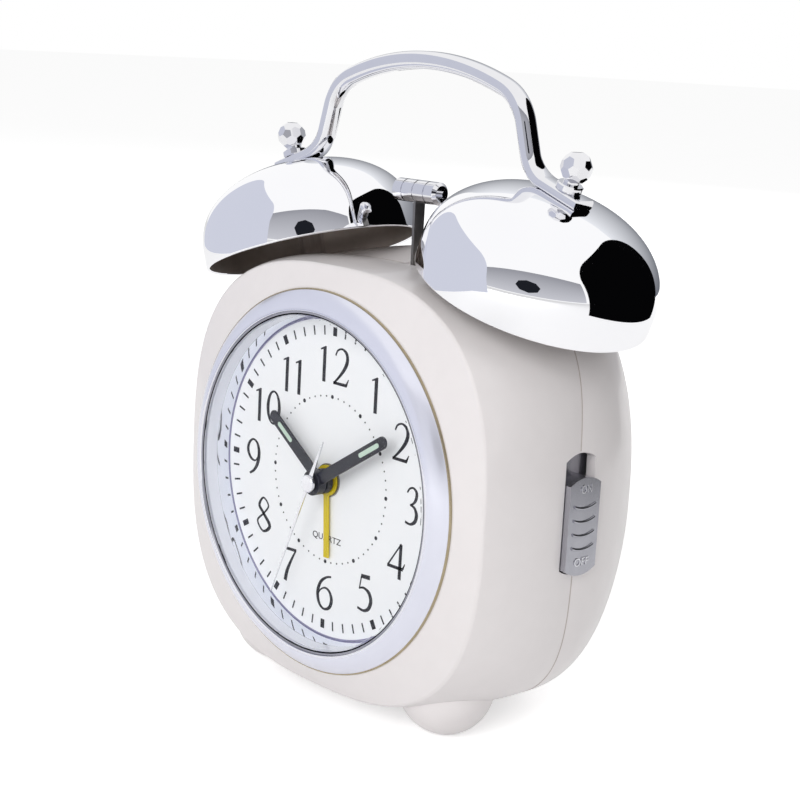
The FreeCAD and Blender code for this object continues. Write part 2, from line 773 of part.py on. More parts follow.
def make_hammer_head():
    """A turned head with three grooves, bevelled ends and a small boss on each end."""
    half = HAMMER_LENGTH / 2
    groove = 0.35
    bevel = 0.8
    boss_radius = 0.95
    boss = 1.1
    profile = [(-half - boss, 0), (-half - boss, boss_radius)]
    profile += [(-half, boss_radius), (-half, HAMMER_RADIUS - bevel)]
    profile.append((-half + bevel, HAMMER_RADIUS))
    for i in (-1, 0, 1):
        middle = i * HAMMER_LENGTH / 4
        profile += [(middle - 0.2, HAMMER_RADIUS), (middle - 0.2, HAMMER_RADIUS - groove)]
        profile += [(middle + 0.2, HAMMER_RADIUS - groove), (middle + 0.2, HAMMER_RADIUS)]
    profile += [(half - bevel, HAMMER_RADIUS), (half, HAMMER_RADIUS - bevel), (half, boss_radius)]
    profile += [(half + boss, boss_radius), (half + boss, 0)]
    points = [place(x, HAMMER_DEPTH, HAMMER_Z + r) for x, r in profile]
    face = Part.Face(Part.makePolygon(points + points[:1]))
    head = face.revolve(place(0, HAMMER_DEPTH, HAMMER_Z), Vector(1, 0, 0), 360)
    return head.cut(arm_strip())


def arm_strip():
    """The flat arm, wider at the top, from the head down to the armature."""
    top = HAMMER_Z + 0.5
    corners_list = [
        place(-ARM_THICK / 2, HAMMER_DEPTH - ARM_TOP_WIDTH / 2, top),
        place(-ARM_THICK / 2, HAMMER_DEPTH + ARM_TOP_WIDTH / 2, top),
        place(-ARM_THICK / 2, HAMMER_DEPTH + ARM_LOW_WIDTH / 2, ARM_FOOT_Z),
        place(-ARM_THICK / 2, HAMMER_DEPTH - ARM_LOW_WIDTH / 2, ARM_FOOT_Z),
    ]
    face = Part.Face(Part.makePolygon(corners_list + corners_list[:1]))
    return face.extrude(Vector(ARM_THICK, 0, 0))


def make_hammer_arm():
    front = HAMMER_DEPTH - 2.2
    back = HAMMER_DEPTH + 2.2
    hub = rod(2.2, front, back, 0, PIVOT_Z)
    arm = arm_strip().fuse(hub)
    return arm.cut(rod(PIN_RADIUS + RUNNING_GAP, front - 1, back + 1, 0, PIVOT_Z))


def make_armature():
    half_x, half_y = ARMATURE_HALF
    body = block(-half_x, half_x, HAMMER_DEPTH - half_y, HAMMER_DEPTH + half_y, *ARMATURE_Z)
    return body.cut(arm_strip())


def make_hammer_bracket():
    """A bent plate: a front cheek that carries the coil, a rear cheek, and a web between them."""
    left, middle, right = BRACKET_X
    low, rear_low, web_low, high = BRACKET_Z
    sheet = FRONT_CHEEK[1] - FRONT_CHEEK[0]
    front = block(left, right, *FRONT_CHEEK, low, high)
    rear = block(left, middle, *REAR_CHEEK, rear_low, high)
    web = block(left, left + sheet, FRONT_CHEEK[1], REAR_CHEEK[0], web_low, high)
    bracket = front.fuse(rear).fuse(web)
    bracket = bracket.cut(rod(PIN_RADIUS, FRONT_CHEEK[0] - 1, REAR_CHEEK[1] + 1, 0, PIVOT_Z))
    bracket = bracket.cut(rod(SCREW_HEAD_RADIUS + 0.5, FRONT_CHEEK[0] - 1, FRONT_CHEEK[1] + 1, CORNER, CORNER))
    return bracket.removeSplitter()


def make_pivot_pin():
    return rod(PIN_RADIUS, FRONT_CHEEK[0], REAR_CHEEK[1] + PIN_PROUD, 0, PIVOT_Z)


def along_x(radius, x0, x1, depth=HAMMER_DEPTH, z=COIL_Z):
    return Part.makeCylinder(radius, x1 - x0, place(x0, depth, z), Vector(1, 0, 0))


def make_striker_core():
    pole = along_x(POLE_RADIUS, *POLE_SPAN)
    core = along_x(CORE_RADIUS, POLE_SPAN[1], CORE_END)
    return pole.fuse(core).removeSplitter()


def make_striker_bobbin():
    radius, thick = BOBBIN_FLANGE
    start, end = COIL_SPAN
    bobbin = along_x(BOBBIN_RADIUS, start - thick, end + thick)
    for low in (start - thick, end):
        bobbin = bobbin.fuse(along_x(radius, low, low + thick))
    return bobbin.cut(along_x(CORE_RADIUS, start - 2, end + 2)).removeSplitter()


def make_striker_coil():
    start, end = COIL_SPAN
    return along_x(COIL_RADIUS, start, end).cut(along_x(BOBBIN_RADIUS, start - 1, end + 1))


# Alarm switch

def make_switch():
    """The slider: a ridged cap outside the case and a flange that runs inside the wall."""
    low = SWITCH_Z - SWITCH_TALL / 2
    high = SWITCH_Z + SWITCH_TALL / 2
    half = SWITCH_WIDE / 2
    cap = switch_outline(low, high, half, FLANGE_X[1], SWITCH_PROUD)
    front = SWITCH_DEPTH - FLANGE_HALF
    back = SWITCH_DEPTH + FLANGE_HALF
    flange = block(FLANGE_X[0], FLANGE_X[1], front, back, low - 5.6, high + SWITCH_TRAVEL + 0.4)
    slider = cap.fuse(flange)
    for i in range(RIDGE_COUNT):
        z = SWITCH_Z + RIDGE_FIRST - RIDGE_PITCH * i
        centre = place(SWITCH_PROUD, SWITCH_DEPTH, z + RIDGE_RISE)
        ridge = Part.makeTorus(RIDGE_ARC_RADIUS, RIDGE_RADIUS, centre, Vector(1, 0, 0))
        sides = (SWITCH_DEPTH - RIDGE_HALF, SWITCH_DEPTH + RIDGE_HALF)
        band = block(SWITCH_PROUD - 1, SWITCH_PROUD + 1, *sides, z - 2, z + 1.5)
        slider = slider.fuse(ridge.common(band))
    return slider


def make_switch_contact():
    """Two flat contact strips on a strip of board, behind the slider's flange."""
    back, face, strip_face = CONTACT_X
    low, high = CONTACT_Z
    board = block(back, face, SWITCH_DEPTH - 5, SWITCH_DEPTH + 5, low, high)
    for shift in (-2.5, 2.5):
        depth = SWITCH_DEPTH + shift
        board = board.fuse(block(face, strip_face, depth - 1, depth + 1, low + 2, high - 2))
    return board


# Hands

def swing(shape, angle):
    """Turn a piece drawn at twelve clockwise to its place."""
    turned = shape.copy()
    turned.rotate(place(0, 0, 0), Vector(0, 1, 0), angle)
    return turned


def blade(low, high, wide, front):
    """A straight bar with a round tip, drawn at twelve."""
    body = block(-wide / 2, wide / 2, front, front + HAND_THICK, low, high - wide / 2)
    tip = rod(wide / 2, front, front + HAND_THICK, 0, high - wide / 2)
    return body.fuse(tip)


def lume(span, front):
    low, high = span
    radius = LUME_WIDE / 2
    body = block(-radius, radius, front - 0.05, front + 0.2, low + radius, high - radius)
    ends = rod(radius, front - 0.05, front + 0.2, 0, low + radius)
    ends = ends.fuse(rod(radius, front - 0.05, front + 0.2, 0, high - radius))
    return body.fuse(ends).removeSplitter()


def make_hour_hand():
    hub = rod(HUB_RADIUS, HOUR_FRONT, -1.35)
    hand = hub.fuse(blade(0, HOUR_REACH, HAND_WIDE, HOUR_FRONT))
    hand = hand.cut(rod(HOUR_TUBE[1], -9, 1)).cut(lume(HOUR_LUME, HOUR_FRONT))
    return swing(hand, HOUR_ANGLE)


def make_minute_hand():
    hub = rod(HUB_RADIUS, MINUTE_FRONT - 0.5, -3.4)
    hand = hub.fuse(blade(0, MINUTE_REACH, HAND_WIDE, MINUTE_FRONT))
    hand = hand.cut(rod(MINUTE_TUBE[1], -9, 1)).cut(lume(MINUTE_LUME, MINUTE_FRONT))
    return swing(hand, MINUTE_ANGLE)


def make_second_hand():
    """A needle with a short tapered tail and a round cap."""
    back = SECOND_FRONT + 0.3
    needle_points = [(-0.45, 0), (0.45, 0), (0.2, SECOND_REACH), (-0.2, SECOND_REACH)]
    tail_points = [(-0.75, 0), (-0.12, -SECOND_TAIL), (0.12, -SECOND_TAIL), (0.75, 0)]
    needle = extrude_outline(needle_points, SECOND_FRONT, back)
    tail = extrude_outline(tail_points, SECOND_FRONT, back)
    cap = rod(SECOND_CAP, SECOND_FRONT - 0.6, back)
    ring = [e for e in cap.Edges if len(e.Vertexes) == 1 and e.BoundBox.YMax < DIAL_Y + SECOND_FRONT - 0.5]
    cap = cap.makeFillet(0.4, ring)
    hand = cap.fuse(needle).fuse(tail)
    hand = hand.cut(rod(SECOND_ARBOR, SECOND_FRONT - 0.1, 1))
    return swing(hand, SECOND_ANGLE)


def make_alarm_hand():
    half = ALARM_WIDE / 2
    boss = rod(ALARM_DISC, ALARM_FRONT, ALARM_FRONT + HAND_THICK)
    body = block(-half, half, ALARM_FRONT, ALARM_FRONT + HAND_THICK, 0, ALARM_REACH)
    hand = boss.fuse(body).cut(rod(ALARM_TUBE[1], -5, 5))
    return swing(hand, ALARM_ANGLE)


def make_dial_nut():
    return tube(NUT_RING, NOSE[1], NOSE_FRONT, 0.0)


# Gears

def involute(angle):
    return math.tan(angle) - angle


def gear_face(teeth, module, x, z, phase, front):
    """A toothed outline, four points a flank; phase is the angle of a tooth from +X towards +Z."""
    pitch = teeth * module / 2
    pressure = math.radians(PRESSURE_ANGLE)
    base = pitch * math.cos(pressure)
    tip = pitch + ADDENDUM * module
    root = pitch - DEDENDUM * module
    half_pitch = (math.pi / 2 - TOOTH_THINNING) * module / (2 * pitch)
    radii = [max(base, root * 1.001), pitch, tip]
    halves = []
    for radius in radii:
        local = math.acos(min(base / radius, 1.0))
        halves.append(half_pitch + involute(pressure) - involute(local))
    points = []
    for i in range(teeth):
        middle = phase + 2 * math.pi * i / teeth
        flank = [(root, halves[0])] + list(zip(radii, halves))
        for radius, half in flank:
            points.append((radius, middle - half))
        for radius, half in reversed(flank):
            points.append((radius, middle + half))
    corners_list = [place(x + r * math.cos(a), front, z + r * math.sin(a)) for r, a in points]
    return Part.Face(Part.makePolygon(corners_list + corners_list[:1]))


def gear(teeth, module, x, z, phase, layer):
    front, back = layer
    return gear_face(teeth, module, x, z, phase, front).extrude(Vector(0, back - front, 0))


def mate_phase(phase, teeth, direction, mate_teeth):
    """Phase of a gear that meshes with another, which lies behind it in the given direction."""
    share = (direction - phase) * teeth / (2 * math.pi)
    return direction + math.pi - (0.5 - share) * 2 * math.pi / mate_teeth


def away(x, z, distance, direction):
    return x + distance * math.cos(direction), z + distance * math.sin(direction)


UP = math.pi / 2
DOWN = -math.pi / 2
RIGHT = 0.0
LEFT = math.pi


def pair_distance(module, teeth, mate_teeth):
    return module * (teeth + mate_teeth) / 2


MOTION_DISTANCE = pair_distance(MOTION_MODULE, CANNON_TEETH, MINUTE_WHEEL_TEETH)
HOUR_MODULE = 2 * MOTION_DISTANCE / (MINUTE_PINION_TEETH + HOUR_TEETH)
THIRD_DISTANCE = pair_distance(CENTRE_MODULE, CENTRE_TEETH, THIRD_PINION_TEETH)
THIRD_MODULE = 2 * THIRD_DISTANCE / (THIRD_TEETH + SECOND_PINION_TEETH)
INTERMEDIATE_DISTANCE = pair_distance(SECOND_MODULE, SECOND_TEETH, INTERMEDIATE_PINION_TEETH)
ROTOR_DISTANCE = pair_distance(ROTOR_MODULE, INTERMEDIATE_TEETH, ROTOR_TEETH)
SET_DISTANCE = pair_distance(MOTION_MODULE, MINUTE_WHEEL_TEETH, SET_PINION_TEETH)
ALARM_DISTANCE = pair_distance(ALARM_MODULE, ALARM_TEETH, ALARM_PINION_TEETH)


def minute_wheel_place():
    return away(0, 0, MOTION_DISTANCE, DOWN)


def time_knob_place():
    x, z = minute_wheel_place()
    return away(x, z, SET_DISTANCE, DOWN)


def alarm_knob_place():
    return away(0, 0, ALARM_DISTANCE, RIGHT)


def third_place():
    return away(0, 0, THIRD_DISTANCE, UP)


def intermediate_place():
    return away(0, 0, INTERMEDIATE_DISTANCE, LEFT)


def rotor_place():
    x, z = intermediate_place()
    return away(x, z, ROTOR_DISTANCE, math.radians(ROTOR_DIRECTION))


def make_centre_wheel():
    """The minute arbor: wheel, cannon pinion and the tube that carries the minute hand."""
    inner, outer = MINUTE_TUBE
    front = MINUTE_FRONT - 0.5
    body = rod(outer, front, CENTRE_LAYER[0]).fuse(gear(CENTRE_TEETH, CENTRE_MODULE, 0, 0, 0, CENTRE_LAYER))
    cannon = gear(CANNON_TEETH, MOTION_MODULE, 0, 0, 0, (MINUTE_LAYER[0], CENTRE_LAYER[0]))
    return body.fuse(cannon).cut(rod(inner, front - 1, CENTRE_LAYER[1] + 1)).removeSplitter()


def make_hour_wheel():
    inner, outer = HOUR_TUBE
    wheel = gear(HOUR_TEETH, HOUR_MODULE, 0, 0, hour_phase(), HOUR_LAYER)
    body = wheel.fuse(rod(outer, HOUR_FRONT, HOUR_LAYER[0]))
    return body.cut(rod(inner, HOUR_FRONT - 1, HOUR_LAYER[1] + 1))


def minute_wheel_phase():
    return mate_phase(0, CANNON_TEETH, DOWN, MINUTE_WHEEL_TEETH)


def hour_phase():
    return mate_phase(0, MINUTE_PINION_TEETH, UP, HOUR_TEETH)


def make_minute_wheel():
    x, z = minute_wheel_place()
    wheel = gear(MINUTE_WHEEL_TEETH, MOTION_MODULE, x, z, minute_wheel_phase(), MINUTE_LAYER)
    pinion = gear(MINUTE_PINION_TEETH, HOUR_MODULE, x, z, 0, (HOUR_LAYER[0] - 0.1, MINUTE_LAYER[0]))
    bore = rod(STUD_RADIUS + RUNNING_GAP, 2, 9, x, z)
    return wheel.fuse(pinion).cut(bore)


def make_alarm_wheel():
    inner, outer = ALARM_TUBE
    wheel = gear(ALARM_TEETH, ALARM_MODULE, 0, 0, 0, ALARM_LAYER)
    body = wheel.fuse(rod(outer, ALARM_FRONT, ALARM_LAYER[0]))
    return body.cut(rod(inner, ALARM_FRONT - 1, ALARM_LAYER[1] + 1))


def third_pinion_phase():
    return mate_phase(0, CENTRE_TEETH, UP, THIRD_PINION_TEETH)


def make_third_wheel():
    x, z = third_place()
    pinion = gear(THIRD_PINION_TEETH, CENTRE_MODULE, x, z, third_pinion_phase(), (7.3, THIRD_LAYER[0]))
    wheel = gear(THIRD_TEETH, THIRD_MODULE, x, z, 0, THIRD_LAYER)
    arbor = rod(ARBOR_RADIUS, MOVEMENT_FLOOR - 0.8, PLATE_BACK - 0.2, x, z)
    return wheel.fuse(pinion).fuse(arbor)


def second_pinion_phase():
    return mate_phase(0, THIRD_TEETH, DOWN, SECOND_PINION_TEETH)


def make_second_wheel():
    """The second arbor, from the hand's cap to its bearing in the cover, with wheel and pinion."""
    pinion = gear(SECOND_PINION_TEETH, THIRD_MODULE, 0, 0, second_pinion_phase(), (8.7, PLATE_FRONT - 0.2))
    wheel = gear(SECOND_TEETH, SECOND_MODULE, 0, 0, 0, SECOND_LAYER)
    arbor = rod(SECOND_ARBOR, SECOND_FRONT - 0.1, COVER_BACK - 0.4)
    return arbor.fuse(pinion).fuse(wheel)


def intermediate_pinion_phase():
    return mate_phase(0, SECOND_TEETH, LEFT, INTERMEDIATE_PINION_TEETH)


def make_intermediate_wheel():
    x, z = intermediate_place()
    layer = (SECOND_LAYER[0] - 0.1, INTERMEDIATE_LAYER[0])
    pinion = gear(INTERMEDIATE_PINION_TEETH, SECOND_MODULE, x, z, intermediate_pinion_phase(), layer)
    wheel = gear(INTERMEDIATE_TEETH, ROTOR_MODULE, x, z, 0, INTERMEDIATE_LAYER)
    arbor = rod(ARBOR_RADIUS, PLATE_FRONT + 0.2, COVER_BACK - 0.6, x, z)
    return wheel.fuse(pinion).fuse(arbor)


def rotor_phase():
    return mate_phase(0, INTERMEDIATE_TEETH, math.radians(ROTOR_DIRECTION), ROTOR_TEETH)


def make_rotor():
    x, z = rotor_place()
    layer = (INTERMEDIATE_LAYER[0] - 0.2, MAGNET_LAYER[0])
    pinion = gear(ROTOR_TEETH, ROTOR_MODULE, x, z, rotor_phase(), layer)
    magnet = rod(MAGNET_RADIUS, MAGNET_LAYER[0], MAGNET_LAYER[1], x, z)
    arbor = rod(ARBOR_RADIUS, PLATE_FRONT + 0.2, COVER_BACK - 0.6, x, z)
    return magnet.fuse(pinion).fuse(arbor)


def set_pinion_phase():
    return mate_phase(minute_wheel_phase(), MINUTE_WHEEL_TEETH, DOWN, SET_PINION_TEETH)


def make_time_shaft():
    x, z = time_knob_place()
    pinion = gear(SET_PINION_TEETH, MOTION_MODULE, x, z, set_pinion_phase(), MINUTE_LAYER)
    shaft = rod(SHAFT_RADIUS, MOVEMENT_FLOOR - 0.8, KNOB_DEPTHS[1] - 1.4, x, z)
    return shaft.fuse(pinion)


def alarm_pinion_phase():
    return mate_phase(0, ALARM_TEETH, RIGHT, ALARM_PINION_TEETH)


def make_alarm_shaft():
    x, z = alarm_knob_place()
    pinion = gear(ALARM_PINION_TEETH, ALARM_MODULE, x, z, alarm_pinion_phase(), ALARM_LAYER)
    shaft = rod(SHAFT_RADIUS, MOVEMENT_FLOOR - 0.8, KNOB_DEPTHS[1] - 1.4, x, z)
    return shaft.fuse(pinion)


def make_knob(spot):
    """A setting knob with a fluted edge."""
    x, z = spot
    front, back = KNOB_DEPTHS
    knob = rod(KNOB_RADIUS, front, back, x, z)
    edge = [e for e in knob.Edges if len(e.Vertexes) == 1 and e.BoundBox.YMin > DIAL_Y + back - 0.1]
    knob = knob.makeFillet(0.7, edge)
    flutes = 20
    for i in range(flutes):
        angle = 2 * math.pi * i / flutes
        fx, fz = away(x, z, KNOB_RADIUS + 0.25, angle)
        knob = knob.cut(rod(0.55, front - 1, back + 1, fx, fz))
    return knob.cut(rod(SHAFT_RADIUS, front - 1, back - 1.4, x, z))


# Movement

def bearing_places():
    """Arbors that turn in the train plate: place and radius."""
    return [
        (third_place(), ARBOR_RADIUS),
        (intermediate_place(), ARBOR_RADIUS),
        (rotor_place(), ARBOR_RADIUS),
        (time_knob_place(), SHAFT_RADIUS),
        (alarm_knob_place(), SHAFT_RADIUS),
        ((0, 0), SECOND_ARBOR),
    ]


def make_housing():
    """Open box with the threaded nose, corner pillars, the fixed stud and blind bearings."""
    half = MOVEMENT_HALF
    inner = half - MOVEMENT_WALL
    box = block(-half, half, MOVEMENT_FRONT, MOVEMENT_BACK, -half, half)
    box = box.cut(block(-inner, inner, MOVEMENT_FLOOR, MOVEMENT_BACK + 1, -inner, inner))
    for sx, sz in corners():
        pillar = rod(PILLAR_RADIUS, MOVEMENT_FLOOR, PLATE_FRONT, sx * CORNER, sz * CORNER)
        box = box.fuse(pillar.cut(rod(SCREW_RADIUS, 4, 20, sx * CORNER, sz * CORNER)))
    nose = rod(NOSE[1], NOSE_FRONT, MOVEMENT_FLOOR)
    x, z = minute_wheel_place()
    stud = rod(STUD_RADIUS, MOVEMENT_FLOOR, MINUTE_LAYER[1] + 0.1, x, z)
    shoulder = rod(STUD_SHOULDER, MOVEMENT_FLOOR, HOUR_LAYER[0] - 0.3, x, z)
    box = box.fuse(nose).fuse(stud).fuse(shoulder)
    box = box.cut(rod(NOSE[0], -2, 3))
    for (bx, bz), radius in ((third_place(), ARBOR_RADIUS), (time_knob_place(), SHAFT_RADIUS),
                             (alarm_knob_place(), SHAFT_RADIUS)):
        box = box.cut(rod(radius + RUNNING_GAP, MOVEMENT_FLOOR - 1.0, MOVEMENT_FLOOR + 0.5, bx, bz))
    return box


def make_train_plate():
    half = MOVEMENT_HALF - MOVEMENT_WALL - 0.2
    plate = block(-half, half, PLATE_FRONT, PLATE_BACK, -half, half)
    for (x, z), radius in bearing_places():
        plate = plate.cut(rod(radius + RUNNING_GAP, PLATE_FRONT - 1, PLATE_BACK + 1, x, z))
    for sx, sz in corners():
        plate = plate.cut(rod(SCREW_RADIUS, PLATE_FRONT - 1, PLATE_BACK + 1, sx * CORNER, sz * CORNER))
    return plate


def make_cover():
    half = MOVEMENT_HALF
    plate = block(-half, half, MOVEMENT_BACK, COVER_BACK, -half, half)
    for sx, sz in corners():
        plate = plate.fuse(rod(PILLAR_RADIUS, PLATE_BACK, MOVEMENT_BACK, sx * CORNER, sz * CORNER))
        plate = plate.cut(rod(SCREW_RADIUS, 5, 20, sx * CORNER, sz * CORNER))
    for (x, z), radius in bearing_places():
        if (x, z) == third_place():
            continue
        plate = plate.cut(rod(radius + RUNNING_GAP, MOVEMENT_BACK - 1, COVER_BACK + 1, x, z))
    return plate


def make_movement_screws():
    screws = []
    for sx, sz in corners():
        x = sx * CORNER
        z = sz * CORNER
        head = rod(SCREW_HEAD_RADIUS, COVER_BACK, COVER_BACK + 1.0, x, z)
        screws.append(head.fuse(rod(SCREW_RADIUS, 5.0, COVER_BACK, x, z)))
    return Part.makeCompound(screws)


def make_stator():
    """Thin plate round the rotor with two legs that meet the coil's core."""
    rx, rz = rotor_place()
    outer, inner, right = STATOR_X
    plate = block(inner, right, *STATOR_LAYER, -STATOR_HALF, STATOR_HALF)
    for low in (-STATOR_HALF, STATOR_HALF - STATOR_LEG):
        plate = plate.fuse(block(outer, inner, *STATOR_LAYER, low, low + STATOR_LEG))
    return plate.cut(rod(MAGNET_RADIUS + 0.4, *MAGNET_LAYER, rx, rz)).removeSplitter()


def make_stepper_coil():
    """Winding on its core, between the stator's legs."""
    half = STATOR_HALF - STATOR_LEG - 0.2
    foot = place(WINDING_X, sum(STATOR_LAYER) / 2, -half)
    return Part.makeCylinder(WINDING_RADIUS, 2 * half, foot, Vector(0, 0, 1))


def make_circuit_board():
    return block(*BOARD_X, PLATE_BACK, PLATE_BACK + 1.0, -BOARD_HALF, BOARD_HALF)


def make_crystal():
    radius, length = CRYSTAL
    return Part.makeCylinder(radius, length, place(16.5, PLATE_BACK + 1.0 + radius, 4.0), Vector(0, 0, 1))


# Battery

def make_cell():
    half = CELL_LENGTH / 2
    radius, proud = CELL_BUTTON
    body = along_x(CELL_RADIUS, -half, half - proud, CELL_DEPTH, CELL_Z)
    return body.fuse(along_x(radius, half - proud, half, CELL_DEPTH, CELL_Z))


def make_contact_plates():
    """A bent plate at each end of the cell, one against its button and one that holds the spring."""
    half = CELL_LENGTH / 2
    wall = DOOR_HALF + 1
    plates = []
    front = CELL_DEPTH - PLATE_HALF
    low = CELL_Z - PLATE_HALF
    high = CELL_Z + PLATE_HALF
    for x0 in (half, -wall):
        plates.append(block(x0, x0 + PLATE_THICK, front, front + 2 * PLATE_HALF, low, high))
    foot = block(half, wall, front - PLATE_THICK, front, low, high)
    plates[0] = plates[0].fuse(foot).removeSplitter()
    return Part.makeCompound(plates)


def make_battery_spring():
    """A coil spring that presses on the base of the cell, lofted through one wire section per step."""
    base = -DOOR_HALF - 0.5 + SPRING_WIRE + 0.15
    height = -CELL_LENGTH / 2 - SPRING_WIRE - 0.15 - base
    turns = height / SPRING_PITCH
    steps = int(turns * SPRING_STEPS)
    tangent = Vector(0, 2 * math.pi * SPRING_RADIUS, SPRING_PITCH)
    section = Part.Wire(Part.makeCircle(SPRING_WIRE, Vector(SPRING_RADIUS, 0, 0), tangent))
    sections = []
    for i in range(steps + 1):
        share = i / steps
        turned = section.copy()
        turned.rotate(Vector(0, 0, 0), Vector(0, 0, 1), 360 * turns * share)
        turned.translate(Vector(0, 0, height * share))
        sections.append(turned)
    spring = Part.makeLoft(sections, True, False)
    spring.rotate(Vector(0, 0, 0), Vector(0, 1, 0), 90)
    spring.translate(place(base, CELL_DEPTH, CELL_Z))
    return spring


def make_door():
    """Lift-off door flush with the rear face, with a finger groove."""
    half = DOOR_HALF - DOOR_GAP
    front = REAR_DEPTH - DOOR_THICK
    panel = block(-half, half, front, REAR_DEPTH, DOOR_LOW + DOOR_GAP, DOOR_HIGH - DOOR_GAP)
    for i in range(GRIP_GROOVES):
        z = DOOR_HIGH - 3.0 - GRIP_PITCH * i
        panel = panel.cut(block(-6, 6, REAR_DEPTH - 0.5, REAR_DEPTH + 1, z - 0.35, z + 0.35))
    return panel


def make_case_screws():
    radius, tall = SCREW_HEAD
    screws = []
    for sx, sz in corners():
        x = sx * CASE_SCREW[0]
        z = sz * CASE_SCREW[1]
        head = rod(radius, SCREW_SEAT, SCREW_SEAT + tall, x, z)
        for half_x, half_z in (SCREW_CROSS, SCREW_CROSS[::-1]):
            slot = block(x - half_x, x + half_x, SCREW_SEAT + 1, SCREW_SEAT + 2, z - half_z, z + half_z)
            head = head.cut(slot)
        screws.append(head.fuse(rod(CASE_SCREW_RADIUS, SCREW_TIP, SCREW_SEAT, x, z)))
    return Part.makeCompound(screws)


def main():
    outside = front_outside().fuse(rear_outside())
    pieces = {
        "front_case": make_front_case(),
        "rear_case": make_rear_case(),
        "bezel_ring": make_bezel(),
        "lens": make_lens(),
        "dial_plate": make_dial_plate(),
        "dial_rim": make_dial_rim(),
        "dial_nut": make_dial_nut(),
        "left_foot": make_foot(-1, outside),
        "right_foot": make_foot(1, outside),
        "rear_foot": make_rear_foot(outside),
        "handle": make_handle(),
        "hammer_head": make_hammer_head(),
        "hammer_arm": make_hammer_arm(),
        "hammer_armature": make_armature(),
        "hammer_bracket": make_hammer_bracket(),
        "hammer_pivot_pin": make_pivot_pin(),
        "striker_core": make_striker_core(),
        "striker_bobbin": make_striker_bobbin(),
        "striker_coil": make_striker_coil(),
        "alarm_switch": make_switch(),
        "switch_contact": make_switch_contact(),
        "hour_hand": make_hour_hand(),
        "minute_hand": make_minute_hand(),
        "second_hand": make_second_hand(),
        "alarm_hand": make_alarm_hand(),
        "hour_hand_lume": swing(lume(HOUR_LUME, HOUR_FRONT), HOUR_ANGLE),
        "minute_hand_lume": swing(lume(MINUTE_LUME, MINUTE_FRONT), MINUTE_ANGLE),
        "centre_wheel": make_centre_wheel(),
        "hour_wheel": make_hour_wheel(),
        "minute_wheel": make_minute_wheel(),
        "alarm_wheel": make_alarm_wheel(),
        "third_wheel": make_third_wheel(),
        "second_wheel": make_second_wheel(),
        "intermediate_wheel": make_intermediate_wheel(),
        "rotor": make_rotor(),
        "stator": make_stator(),
        "stepper_coil": make_stepper_coil(),
        "circuit_board": make_circuit_board(),
        "quartz_crystal": make_crystal(),
        "time_set_shaft": make_time_shaft(),
        "alarm_set_shaft": make_alarm_shaft(),
        "time_set_knob": make_knob(time_knob_place()),
        "alarm_set_knob": make_knob(alarm_knob_place()),
        "movement_housing": make_housing(),
        "movement_train_plate": make_train_plate(),
        "movement_cover": make_cover(),
        "movement_screws": make_movement_screws(),
        "battery_cell": make_cell(),
        "battery_contact_plates": make_contact_plates(),
        "battery_spring": make_battery_spring(),
        "battery_door": make_door(),
        "case_screws": make_case_screws(),
    }
    sides = (-1, 1)
    pieces["bell_posts"] = Part.makeCompound([make_bell_post(side) for side in sides])
    pieces["bell_sleeves"] = Part.makeCompound([make_bell_sleeve(side, outside) for side in sides])
    pieces["bell_nuts"] = Part.makeCompound([make_bell_nut(side) for side in sides])
    for side, word in zip(sides, ("left", "right")):
        pieces[word + "_bell"] = make_bell(side)
        pieces[word + "_finial"] = make_finial(side)
    for name, shape in pieces.items():
        export(shape, name)


main()
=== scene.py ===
import json
import math

import bmesh
import bpy
from mathutils import Matrix, Vector


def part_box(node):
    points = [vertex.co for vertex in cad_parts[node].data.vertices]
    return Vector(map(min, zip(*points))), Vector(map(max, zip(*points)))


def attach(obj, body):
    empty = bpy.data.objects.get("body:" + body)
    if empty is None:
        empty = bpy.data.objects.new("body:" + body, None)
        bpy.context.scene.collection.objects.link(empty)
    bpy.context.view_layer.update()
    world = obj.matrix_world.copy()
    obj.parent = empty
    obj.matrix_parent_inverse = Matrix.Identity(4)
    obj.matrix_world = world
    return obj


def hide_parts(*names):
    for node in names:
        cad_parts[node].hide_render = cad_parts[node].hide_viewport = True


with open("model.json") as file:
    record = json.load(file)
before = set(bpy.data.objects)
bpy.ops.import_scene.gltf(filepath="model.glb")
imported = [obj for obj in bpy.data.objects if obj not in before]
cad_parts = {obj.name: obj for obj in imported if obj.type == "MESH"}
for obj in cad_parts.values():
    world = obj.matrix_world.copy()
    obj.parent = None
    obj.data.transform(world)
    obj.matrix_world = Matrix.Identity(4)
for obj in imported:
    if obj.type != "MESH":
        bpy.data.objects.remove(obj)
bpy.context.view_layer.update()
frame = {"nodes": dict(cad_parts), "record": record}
NODES = frame["nodes"]

# Sizes in millimetres. Places count from the dial's middle: x to the right, depth to the back, z up
MM = 0.001
DIAL_Y = -27.0
DIAL_Z = 57.2
BODY = "clock"

# Bells
BELL_X = 39.5
BELL_DEPTH = 25.5
BELL_RIM_Z = 50.3
BELL_TILT = math.radians(20.1)
BELL_RADIUS = 28.6
BELL_WALL_HEIGHT = 4.6
BELL_HEIGHT = 24.0
BELL_SHEET = 0.9
BELL_EXPONENT = 2.2
BELL_STEPS = 200
DOME_STEPS = 40
LIP_STEPS = 6
CROWN_SEAT = 23.7
POST_RADIUS = 1.5

# Carrying handle
BAR = (4.4, 5.0, 1.3)
TAB = (2.4, 6.2, 0.5)
ARCH_TOP_Z = 101.8
ARCH_TOP_RADIUS = 75.0
ARCH_TOP_ANGLE = math.radians(21.0)
SHOULDER_RADIUS = 12.0
LEG_LEAN = math.radians(15.7)
HEEL_RADIUS = 9.0
HEEL_ROUND_STEPS = 2
TAB_REACH = 5.6
CORNER_SOFTENING = 0.3

